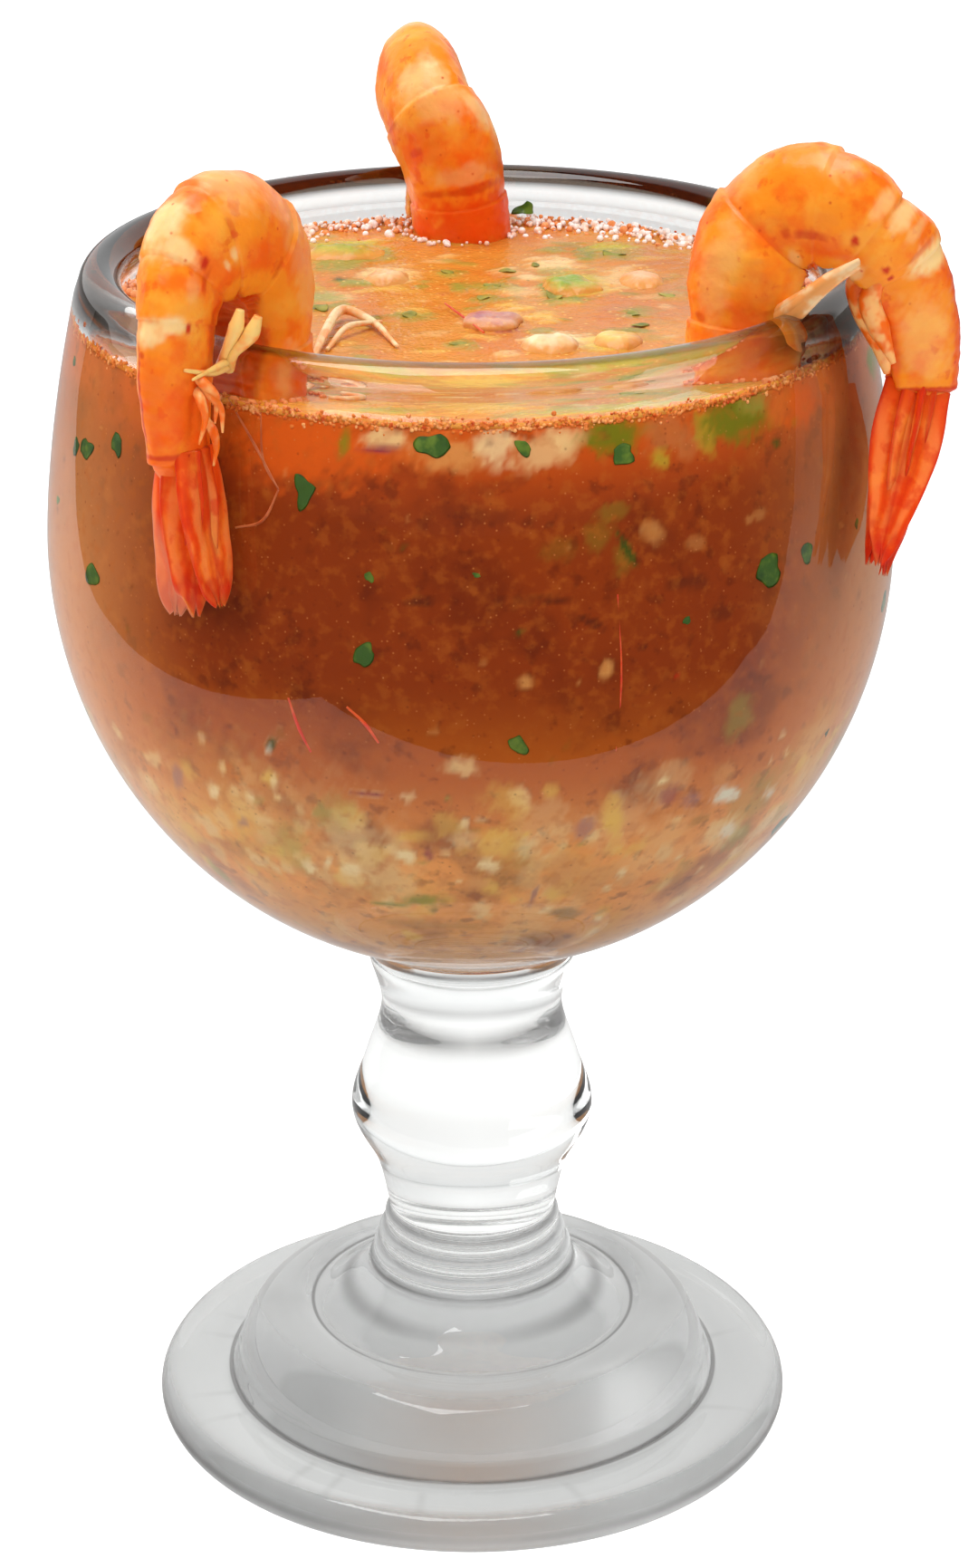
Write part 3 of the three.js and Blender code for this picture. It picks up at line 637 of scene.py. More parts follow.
def broth_finish():
    """Cloudy tomato broth against the glass: brown-orange, paler low down, with painted light
    where light comes in from beside it, and with fine pulp."""
    finish = Finish("broth_side", shade(134, 50, 6), Roughness=0.5, Specular_IOR_Level=0.1)
    finish.by_height(shade(178, 88, 20), 150.0, 132.0)
    finish.by_height(shade(230, 152, 72), 136.0, 116.0)
    finish.by_height(shade(212, 148, 66), 111.0, 100.0)
    finish.by_height(shade(202, 80, 8), 170.0, 184.0, 0.85)
    finish.mottle(shade(98, 30, 3), 0.6, Scale=70.0, Detail=5.0, Low=0.5, High=0.68)
    finish.mottle(shade(90, 26, 3), 0.5, Scale=330.0, Detail=4.0, Low=0.56, High=0.7)
    finish.mottle(shade(176, 92, 26), 0.35, Scale=240.0, Detail=5.0, Low=0.54, High=0.74)
    # painted light from beside
    finish.cover(finish.value("painted_side_light"), shade(222, 154, 90))
    finish.cover(finish.value("cover"), finish.tint("tint"))
    finish.mottle(shade(176, 92, 26), 0.3, Scale=500.0, Detail=4.0, Low=0.5, High=0.7)
    finish.speckle(shade(204, 124, 66), 0.6, Scale=1300.0, Size=0.28, Share=0.8)
    finish.speckle(shade(92, 26, 6), 0.5, Scale=900.0, Size=0.28, Share=0.82)
    finish.speckle(shade(240, 170, 100), 0.8, Scale=420.0, Size=0.08, Share=0.9)
    return finish.relief(0.1, 0.5, Coarse=500.0, Fine=2000.0).material


def surface_finish():
    """The broth's open surface: tan-orange, wet, with fine froth and blurred pieces below."""
    finish = Finish("broth_surface", shade(216, 140, 52), Roughness=0.22, Specular_IOR_Level=0.25)
    finish.soften(0.15, 2, (1.0, 0.4, 0.15))
    finish.mottle(shade(212, 112, 34), 0.7, Scale=70.0, Detail=5.0, Low=0.42, High=0.66)
    finish.mottle(shade(230, 164, 72), 0.6, Scale=60.0, Detail=5.0, Low=0.5, High=0.7)
    finish.cover(finish.value("cover"), finish.tint("tint"))
    finish.mottle(shade(222, 132, 48), 0.4, Scale=420.0, Detail=5.0, Low=0.5, High=0.66)
    finish.speckle(shade(255, 208, 110), 0.7, Scale=900.0, Size=0.38, Share=0.66)
    finish.speckle(shade(206, 72, 20), 0.75, Scale=700.0, Size=0.24, Share=0.8)
    finish.speckle(shade(120, 96, 26), 0.6, Scale=500.0, Size=0.2, Share=0.86)
    finish.cover(finish.value("calm"), shade(204, 132, 68))
    return finish.relief(0.4, 0.8, Coarse=420.0, Fine=1500.0, Fine_Share=0.6).material


def flesh_finish():
    """Cooked shrimp: mottled orange flesh under a thin wet shell, cream where the plates join,
    red at the hinges and along the back of the last plate."""
    finish = Finish("shrimp_flesh", shade(252, 144, 32), Roughness=0.36, Specular_IOR_Level=0.25,
                    Coat_Weight=0.12, Coat_Roughness=0.12)
    finish.soften(0.25, 3, (1.0, 0.3, 0.08))
    finish.mottle(shade(247, 106, 16), 0.8, Scale=190.0, Detail=5.0, Low=0.44, High=0.62)
    finish.mottle(shade(254, 172, 60), 0.75, Scale=130.0, Detail=5.0, Low=0.5, High=0.68)
    finish.mottle(shade(232, 72, 10), 0.5, Scale=420.0, Detail=3.0, Low=0.6, High=0.7)
    finish.cover(finish.value("belly"), shade(240, 92, 18), 0.7)
    finish.cover(finish.value("deep"), shade(238, 72, 6), 0.85)
    # pale: cream where the plates join, and on the back shrimp partly painted highlight
    finish.cover(finish.value("pale"), shade(252, 210, 144), 0.95)
    finish.cover(finish.value("red"), shade(204, 34, 8), 0.95)
    finish.speckle(shade(214, 60, 14), 0.8, Scale=420.0, Size=0.16, Share=0.72)
    finish.speckle(shade(140, 50, 14), 0.8, Scale=300.0, Size=0.09, Share=0.75)
    return finish.relief(0.22, 0.7, Coarse=380.0, Fine=1500.0, Fine_Share=0.4).material


def fan_finish():
    """Tail fan: deep red-orange horn, darker along its ribs and at the tip, paler between."""
    finish = Finish("shrimp_fan", shade(238, 78, 10), Roughness=0.36, Specular_IOR_Level=0.35,
                    Coat_Weight=0.16, Coat_Roughness=0.12)
    finish.soften(0.25, 2, (1.0, 0.25, 0.08))
    finish.mottle(shade(252, 128, 40), 0.8, Scale=200.0, Detail=5.0, Low=0.48, High=0.64)
    finish.cover(finish.value("web"), shade(252, 140, 70), 0.6)
    finish.mottle(shade(226, 46, 6), 0.6, Scale=300.0, Detail=4.0, Low=0.52, High=0.66)
    finish.cover(finish.value("tip"), shade(200, 34, 16), 0.75)
    finish.cover(finish.value("rib"), shade(206, 32, 6), 0.65)
    # the thin left lobe: its own paler translucent horn, with painted light showing through it
    finish.cover(finish.value("clear"), shade(214, 134, 98), 0.8)
    return finish.relief(0.2, 0.7, Coarse=450.0, Fine=1800.0).material


def leg_finish(name, colour, other):
    """Thin horn of a leg or feeler, uneven in colour."""
    finish = Finish(name, colour, Roughness=0.3)
    finish.soften(0.2, 1)
    finish.mottle(other, 0.8, Scale=380.0, Detail=2.0, Low=0.42, High=0.62)
    return finish.relief(0.08, 0.5, Coarse=700.0, Fine=2200.0).material


def chunk_finish(name, colour, other):
    """Soft cut flesh of a chopped vegetable, filmed with broth where it meets the liquid."""
    finish = Finish(name, colour, Roughness=0.28, Specular_IOR_Level=0.3)
    finish.soften(0.2, 2)
    finish.mottle(other, 0.8, Scale=240.0, Detail=4.0, Low=0.42, High=0.64)
    finish.mottle(shade(222, 140, 60), 0.3, Scale=260.0, Detail=5.0, Low=0.48, High=0.66)
    finish.by_height(shade(224, 150, 72), BROTH_LEVEL + 1.5, BROTH_LEVEL + 0.4, 0.9)
    finish.speckle(shade(255, 208, 110), 0.5, Scale=900.0, Size=0.38, Share=0.75)
    return finish.relief(0.25, 0.8, Coarse=420.0, Fine=1500.0, Fine_Share=0.6).material


def herb_finish():
    """Chopped leaf: dark green, lighter in patches, wet, and filmed with broth where it floats."""
    finish = Finish("herb_leaf", shade(50, 84, 18), Roughness=0.4, Specular_IOR_Level=0.3)
    finish.mottle(shade(98, 122, 32), 0.8, Scale=360.0, Detail=3.0, Low=0.46, High=0.64)
    finish.mottle(shade(26, 54, 10), 0.75, Scale=220.0, Detail=3.0, Low=0.52, High=0.66)
    finish.cover(finish.value("film"), shade(172, 158, 64))
    return finish.relief(0.12, 0.7, Coarse=900.0, Fine=2400.0).material


def bubble_finish():
    """Froth bubbles: thin wet skins, tinted by the broth behind them, white at the far side, partly
    as paler froth and partly as painted sparkle.
    """
    finish = Finish("froth_bubbles", shade(240, 146, 84), Roughness=0.1, IOR=1.33)
    # white at the far side: partly paler froth, partly painted sparkle
    finish.cover(finish.value("white"), shade(255, 246, 240))
    finish.mottle(shade(250, 178, 120), 0.6, Scale=500.0, Detail=3.0, Low=0.5, High=0.62)
    return finish.material


def bead_finish():
    """Small bubbles held between the broth and the glass: orange, with red and pale ones."""
    finish = Finish("waterline_bubbles", shade(218, 118, 48), Roughness=0.12, IOR=1.33)
    finish.mottle(shade(246, 180, 112), 0.8, Scale=700.0, Detail=3.0, Low=0.48, High=0.62)
    finish.mottle(shade(190, 62, 20), 0.8, Scale=900.0, Detail=3.0, Low=0.54, High=0.66)
    return finish.material


# ---------------------------------------------------------------- goblet
def bowl_radius(height):
    """Outside of the bowl: a quarter ellipse up to the widest level, then a slow taper."""
    drop = np.clip((WIDEST_HEIGHT - height) / BOWL_DEPTH, 0, 1)
    climb = np.clip((height - WIDEST_HEIGHT) / (RIM_HEIGHT - WIDEST_HEIGHT), 0, 1)
    return BOWL_RADIUS * np.sqrt(1 - drop**2) - MOUTH_TAPER * climb**MOUTH_CURVE


def inside_radius(height):
    """Inside of the bowl: a quarter ellipse one wall in, then the outside less the wall."""
    drop = np.clip((WIDEST_HEIGHT - height) / (WIDEST_HEIGHT - BOWL_FLOOR), 0, 1)
    below = (BOWL_RADIUS - WALL) * np.sqrt(1 - drop**2)
    return np.where(height < WIDEST_HEIGHT, below, bowl_radius(height) - WALL)


def wall_at(height):
    """The inside radius of the bowl at one height, as a plain number."""
    return float(inside_radius(np.array(height)))


def arc(centre, radius, start, end, steps):
    """Points of a circle's arc in (radius, height), from one angle in degrees to another."""
    angles = np.radians(np.linspace(start, end, steps))
    return np.stack([centre[0] + radius * np.cos(angles), centre[1] + radius * np.sin(angles)], -1)


def inside_profile(outward_by, top, cup_rows, wall_rows):
    """The inside of the bowl from its floor up, moved outward into the wall."""
    angles = np.linspace(0.006, np.pi / 2, cup_rows)
    radius = BOWL_RADIUS - WALL + outward_by
    depth = WIDEST_HEIGHT - BOWL_FLOOR + outward_by
    cup = np.stack([radius * np.sin(angles), WIDEST_HEIGHT - depth * np.cos(angles)], -1)
    heights = np.linspace(WIDEST_HEIGHT, top, wall_rows)[1:]
    return np.vstack([cup, np.stack([inside_radius(heights) + outward_by, heights], -1)])


def goblet_profile():
    """The whole outline, from under the foot, up the outside, over the rim and down inside."""
    across = np.linspace(0.3, PUNT_RADIUS, 18)
    punt = np.stack([across, PUNT_DEPTH * (1 - (across / PUNT_RADIUS) ** 2)], -1)
    edge = arc((FOOT_RADIUS - FOOT_EDGE, FOOT_EDGE), FOOT_EDGE, -90, 90, 20)
    flange = spline([(46.4, 7.0), (43.4, 6.75), (40.6, 6.45), (39.5, 6.7)], 10)
    step = spline([(39.2, 7.2), (38.7, 8.1), (38.2, 8.9)], 6)
    angles = np.radians(np.linspace(10, 90, 40))
    dome = np.stack([mix(28.9, 38.1, np.cos(angles)), mix(8.2, 18.2, np.sin(angles))], -1)
    crest = spline([(27.4, 18.3), (25.6, 18.0), (24.2, 18.6), (21.5, 20.6), (18.7, 22.9),
                    (17.0, 24.8), (16.5, 26.4)], 9)
    steps = [arc((radius, FIRST_STEP_HEIGHT + STEP_PITCH * k), STEP_ROUNDING, -60, 75, 8)
             for k, radius in enumerate(STEP_RADII)]
    knop = spline([(13.3, 36), (15.3, 44.6), (19.2, 53.2), (17.0, 62), (14.3, 71.5),
                   (16.1, 79.6), (16.3, 81.4), (18.2, 84.4)], 10, power=0)
    turns = np.radians(np.linspace(20, 89, 46))
    bowl = WIDEST_HEIGHT - BOWL_DEPTH * np.cos(turns)
    mouth = np.linspace(WIDEST_HEIGHT, 188, 26)
    heights = np.concatenate([bowl, mouth])
    wall = np.stack([bowl_radius(heights), heights], -1)
    rim = arc((RIM_RADIUS - RIM_ROLL, RIM_HEIGHT - RIM_ROLL), RIM_ROLL, 12, 216, 34)
    inside = inside_profile(0, RIM_FOOT_HEIGHT - 0.4, 60, 24)[::-1]
    return np.vstack([punt, edge, flange, step, dome, crest, *steps, knop, wall, rim, inside])


def painted_rim_reflection(azimuth, height):
    """How dark the rolled rim is painted, as painted dark reflection and shade: all round but least
    at the front, where only its lip is, from higher up at the far side, and down to the wall
    beside the right shrimp. Azimuths in radians."""
    front = np.cos((azimuth + np.radians(82)) / 2)
    away = 1 - np.exp(-(((front - 1) / -0.12) ** 2))
    behind = 2.4 * smooth(np.sin(azimuth), 0.3, 0.8)
    painted_rim_dark = smooth(height - behind, 187.2, 188.6) * mix(0.06, 1, away)
    lip = 0.85 * smooth(height, 192.0, 192.6)
    beside = smooth(height, 185, 186.6) * np.exp(-(((np.degrees(azimuth) + 20) / 24) ** 4))
    return np.maximum(painted_rim_dark, np.maximum(lip, beside))


def make_goblet():
    """The goblet, with a painted dark reflection in its rim, and painted shade in its thick foot,
    under the foot and along its creases, which are strongest at the left and right."""
    goblet = lathe(goblet_profile(), GOBLET_SIDES)
    height = goblet.points[:, 2]
    radius = np.hypot(goblet.points[:, 0], goblet.points[:, 1])
    azimuth = np.arctan2(goblet.points[:, 1], goblet.points[:, 0])
    goblet.values["painted_rim_dark"] = painted_rim_reflection(azimuth, height)
    hollow = (radius < PUNT_RADIUS) & (height < PUNT_DEPTH + 0.2)
    goblet.values["matte"] = np.where(hollow, 1.0, 1 - smooth(height, 0.0, 0.2))
    # painted shade: the foot and the hollow under it are greyed where the bowl's shadow lies below
    painted_foot_shade = 0.4 * (1 - smooth(height, 18, 30)) + 0.05
    painted_glass_shade = np.where(hollow, 0.62, painted_foot_shade)
    # the painted crease shade is strongest at the left and right
    sides = mix(0.55, 1, np.abs(np.cos(azimuth)))
    for crease_radius, crease_height, width, amount in PAINTED_CREASE_SHADE:
        away = np.hypot(radius - crease_radius, height - crease_height) / width
        painted_glass_shade = np.maximum(painted_glass_shade, amount * sides * np.exp(-(away**2)))
    goblet.values["painted_glass_shade"] = painted_glass_shade
    make_piece("goblet_glass", goblet, glass_finish(), "clear_glass", "goblet")


make_goblet()


# ---------------------------------------------------------------- broth
def stained(points, across, up, marks, seed, light=1.0):
    """Colours and cover of pieces sunk just under a surface. Each mark has its middle, its half
    length and half width, its turn, a tint and how much it covers. Its edge is a blurred ellipse
    that smooth unevenness bends. Light is the share of the tints' colour that is kept: below 1
    the tints are darker copies, as painted shade."""
    wobble = ripple(points, 3.0, seed) * 0.3 + ripple(points, 1.1, seed + 1) * 0.2
    tint = np.zeros((len(points), 3))
    cover = np.zeros(len(points))
    for middle_across, middle_up, length, width, turn, name, amount in marks:
        c, s = math.cos(math.radians(turn)), math.sin(math.radians(turn))
        far = 1.6 * max(length, width)
        near = np.flatnonzero((np.abs(across - middle_across) < far) & (np.abs(up - middle_up) < far))
        right, top = across[near] - middle_across, up[near] - middle_up
        reach = np.hypot((c * right + s * top) / length, (c * top - s * right) / width)
        mask = amount * (1 - smooth(reach + wobble[near], 0.45, 1.3))
        whole = mask + cover[near] * (1 - mask)
        share = mask / np.maximum(whole, 1e-6)
        tint[near] = mix(tint[near], np.array(TINTS[name][:3]), share[:, None])
        cover[near] = whole
    return light * tint, cover


def round_from_front(azimuth):
    """The arc length along the inside of the bowl from the front to an azimuth."""
    return np.radians(azimuth + 90) * (BOWL_RADIUS - WALL)


def wall_marks():
    """What shows through the glass: a seeded scatter that is dense and pale low in the bowl, the
    known pieces over it, then small specks, and pieces at the waterline of the far side."""
    # azimuth, height, half length, half width, turn, tint and how much it covers
    known = [
        # near the waterline
        (-113, 179.8, 13, 5.2, 0, "flame", 0.75), (-96, 181, 6, 3, 0, "orange", 0.5),
        (-107.5, 181.2, 0.8, 1.9, -8, "green", 0.75), (-101.6, 182, 3.4, 1.5, 4, "pale", 0.85),
        (-102.2, 180.6, 3, 0.5, 3, "purple", 0.9), (-92, 180, 5, 2.2, -4, "tan", 0.7),
        (-86.5, 181.2, 2.6, 2.8, 0, "cream", 0.6), (-79.4, 180.6, 4.6, 2.8, 8, "pale", 0.6),
        (-76, 182, 4, 1.6, 0, "pale", 0.6), (-69.6, 181.8, 5.4, 2.6, 0, "fern", 1.0),
        (-61.2, 181, 4.6, 2.8, 0, "dusk", 0.7), (-62.6, 178, 1.8, 1.4, 0, "avocado", 0.6),
        (-58, 178.8, 2.6, 1.8, 20, "dusk", 0.6), (-55, 180.4, 2.2, 3.2, 0, "avocado", 0.6),
        (-49.5, 180.9, 6.8, 3.4, -3, "fern", 1.0), (-45.5, 182.4, 3.4, 1.4, 0, "moss", 0.7),
        (-40.5, 181, 3.4, 2, 20, "orange", 0.6), (-42.4, 176.2, 1.2, 0.8, -25, "herb", 0.8),
        (-37.8, 178.2, 0.9, 0.6, 20, "green", 0.5), (-36, 180, 4, 3, 0, "flame", 0.6),
        # in the dark middle
        (-70, 171.6, 2.7, 1.3, 8, "olive", 0.65), (-72.4, 168.4, 2.2, 2.6, 0, "olive", 0.6),
        (-69.4, 164.6, 1.6, 2.2, 10, "olive", 0.7), (-78, 167, 3, 1.6, 0, "olive", 0.35),
        (-68.6, 166.4, 0.55, 2.8, 28, "herb", 0.9), (-64.6, 168, 2.2, 1.7, -30, "tan", 0.55),
        (-58, 165.4, 1.8, 1, 0, "tan", 0.3), (-47, 167.2, 1.3, 0.9, 0, "tan", 0.35),
        (-96.4, 160.1, 2.1, 0.55, 6, "dark", 0.9), (-79.4, 160.1, 3.6, 0.45, -4, "dark", 0.85),
        (-73.8, 156.5, 2.9, 0.5, -30, "dark", 0.85), (-60, 160.2, 4.2, 1, -5, "dark", 0.6),
        (-54.4, 154.8, 2.3, 1.2, 0, "dark", 0.55), (-89, 172, 6, 1.4, -6, "dark", 0.35),
        (-86, 176, 5, 1, 10, "dark", 0.3), (-83.5, 155.7, 1, 0.35, 4, "herb", 0.8),
        (-66.5, 152, 0.35, 0.6, 0, "dark", 0.8), (-82.8, 148.5, 1.2, 1.1, 0, "tan", 0.75),
        (-71.8, 149.4, 0.9, 1.4, -12, "tan", 0.85), (-61.5, 147.1, 0.4, 0.6, -20, "red", 0.8),
        (-98.8, 167.5, 0.7, 0.3, 15, "herb", 0.7), (-126, 172, 5, 3, 0, "dark", 0.3),
        # under the middle
        (-118, 136.6, 0.9, 1.3, -15, "herb", 0.85), (-118.5, 135.9, 0.7, 0.5, 0, "white", 0.9),
        (-105.5, 130.6, 4.2, 0.35, 2, "purple", 0.9), (-130, 135.3, 0.9, 0.8, 0, "pale", 0.5),
        (-118.5, 130.8, 0.6, 1.1, -10, "cream", 0.7), (-141, 135.5, 1.6, 1, 20, "olive", 0.3),
        (-137.5, 126.8, 1.1, 2.6, -32, "lilac", 0.6), (-142, 128.4, 3.4, 1.2, 14, "pale", 0.6),
        (-130.4, 126.6, 1.1, 1.8, -28, "cream", 0.8), (-126, 127.4, 0.8, 0.9, 0, "pale", 0.6),
        (-123.4, 127, 0.7, 1.1, -35, "cream", 0.7), (-115, 126.6, 0.9, 0.8, 0, "pale", 0.45),
        (-147, 122.6, 3, 1.7, 20, "pale", 0.6), (-122, 123.4, 1.7, 0.8, 15, "pale", 0.7),
        (-126.5, 121.9, 1.8, 0.8, 24, "lilac", 0.65), (-98, 124, 3, 1.3, 6, "yellow", 0.55),
        (-99.8, 120.4, 1.9, 1.1, 10, "cream", 0.9), (-96.3, 120.7, 0.9, 1.4, 18, "purple", 0.75),
        (-90.6, 126.6, 0.8, 1, 25, "cream", 0.7), (-86, 123, 3.7, 2.6, 8, "yellow", 0.6),
        (-87.2, 118.9, 1.9, 1.4, -20, "cream", 0.9), (-109.4, 116.9, 1.9, 1.1, 8, "cream", 0.8),
        (-112.6, 118, 0.6, 1.8, -35, "cream", 0.8), (-116.7, 116.2, 1.9, 1.3, 14, "cream", 0.85),
        (-123, 117.7, 2.4, 0.8, 16, "yellow", 0.6), (-125, 115.6, 0.8, 0.6, 0, "pale", 0.6),
        (-88.6, 115.6, 2.4, 1.5, 0, "tan", 0.8), (-91.7, 116, 0.8, 0.5, 0, "cream", 0.6),
        (-68.8, 125.6, 2, 4.4, 22, "yellow", 0.75), (-60, 128, 2.2, 1.6, -25, "purple", 0.6),
        (-56.4, 126.4, 2, 1.4, 0, "lilac", 0.5), (-49.6, 125.7, 3.2, 1.3, -8, "white", 0.95),
        (-57.6, 123.5, 1.4, 0.9, 0, "pale", 0.6), (-53.4, 122.3, 2.1, 1, 0, "olive", 0.5),
        (-62, 131, 0.9, 0.7, -20, "cream", 0.8), (-38.5, 123, 2, 1, -20, "white", 0.7),
        (-73, 124.6, 2, 2, 0, "lilac", 0.6), (-71.2, 123, 1.3, 0.9, -10, "pale", 0.8),
        (-75, 117, 4.4, 3.8, 0, "tan", 0.8), (-68.8, 114, 5, 3.4, 10, "tan", 0.8),
        (-64.6, 115.3, 0.9, 1, 20, "cream", 0.8), (-66.4, 112.4, 1.5, 0.8, -20, "cream", 0.7),
        (-45.5, 118.5, 2.2, 1.2, -30, "white", 0.65), (-52, 114.5, 1.6, 0.9, -10, "olive", 0.4),
        (-59, 114.7, 0.7, 0.3, -25, "dark", 0.8), (-40.6, 133, 0.9, 0.7, 0, "cream", 0.5),
        (-98.3, 111.8, 3.4, 1.2, 5, "green", 0.75), (-104, 110.6, 4, 0.5, 2, "green", 0.7),
        (-96.4, 109.9, 0.8, 0.7, 0, "herb", 0.5), (-79.2, 112.6, 0.7, 2.5, -8, "lilac", 0.7),
        (-72, 108.2, 4.6, 1.2, -7, "olive", 0.6), (-76.4, 109.4, 1.6, 0.5, 4, "cream", 0.7),
        (-102, 103.6, 1.9, 1.2, -6, "yellow", 0.7), (-64.6, 106, 1.2, 0.9, -30, "cream", 0.6),
        (-79.5, 104.8, 1.2, 0.6, -15, "dark", 0.5), (-96, 106.6, 12, 1.1, 0, "olive", 0.35),
    ]
    marks = []
    random = np.random.default_rng(21)
    names = ["cream", "yellow", "pale", "tan", "tan", "yellow", "pale", "moss", "yellow", "pale"]
    for _ in range(SUNK_PIECES):
        azimuth = random.uniform(-270, 90)
        height = random.normal(117.5, 8)
        size = 0.8 + random.exponential(1.9)
        name = names[random.integers(len(names))]
        amount = random.uniform(0.35, 0.85) * min(1, 2.2 / size)
        flat = random.uniform(0.5, 0.95)
        marks.append((azimuth, height, size, size * flat, random.uniform(-60, 60), name, amount))
    marks += known
    for _ in range(SUNK_SPECKS):
        azimuth, height = random.uniform(-270, 90), random.uniform(126, 182)
        size = random.uniform(0.3, 0.9)
        name = ("tan", "dark", "olive", "tan")[random.integers(4)]
        marks.append((azimuth, height, size, size * random.uniform(0.4, 1),
                      random.uniform(-60, 60), name, random.uniform(0.2, 0.5)))
    for _ in range(WATERLINE_PIECES):
        size = random.uniform(3, 7)
        name = ("avocado", "yellow", "cream", "orange", "green")[random.integers(5)]
        azimuth = random.uniform(-28, 212)
        height = random.uniform(178.5, 182)
        marks.append((azimuth, height, size, 0.45 * size, random.uniform(-12, 12), name, 0.75))
    return [(round_from_front(azimuth), *rest) for azimuth, *rest in marks]


def make_broth_side():
    """The body of the broth: the inside of the bowl, a little into the wall, with a flat lid. Light
    from beside is painted on it, most at the left and right and less high up and behind."""
    profile = inside_profile(INTO_WALL, BROTH_LEVEL - 0.4, 100, 52)
    lid = np.linspace(profile[-1, 0] - 0.5, 0.5, 5)
    profile = np.vstack([profile, np.stack([lid, np.full(5, BROTH_LEVEL - 0.9)], -1)])
    body = lathe(profile, BROTH_SIDES)
    height = body.points[:, 2]
    azimuth = np.degrees(np.arctan2(body.points[:, 1], body.points[:, 0]))
    azimuth = np.where(azimuth > 90, azimuth - 360, azimuth)
    around = round_from_front(azimuth)
    # the marks on the broth's side are darker copies of the tints, as painted shade
    body.values["tint"], body.values["cover"] = stained(body.points, around, height, wall_marks(),
                                                        31, 0.82)
    # painted light from beside, most at the left and right
    beside = np.abs(azimuth + 90)
    painted_side_light = 0.7 * smooth(beside, 36, 76) * mix(1, 0.3, smooth(beside, 110, 150))
    body.values["painted_side_light"] = painted_side_light * mix(1, 0.5, smooth(height, 140, 184))
    make_piece("broth_body", body, broth_finish(), "tomato_broth", "broth")


def flake_places():
    """Where the solid broth has its herb flakes: the middles of the corners at their level, each
    group within 5 mm of its first corner."""
    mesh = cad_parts["broth"].data
    corners = np.empty(len(mesh.vertices) * 3)
    mesh.vertices.foreach_get("co", corners)
    corners = corners.reshape(-1, 3) / MM - AXIS
    at_top = np.abs(corners[:, 2] - BROTH_LEVEL - FLAKE_LIFT) < 0.02
    top = np.unique(np.round(corners[at_top], 2), axis=0)
    places = []
    while len(top):
        near = np.linalg.norm(top - top[0], axis=1) < 5
        places.append((top[near].mean(0), np.ptp(top[near], axis=0).max() / 2))
        top = top[~near]
    return places


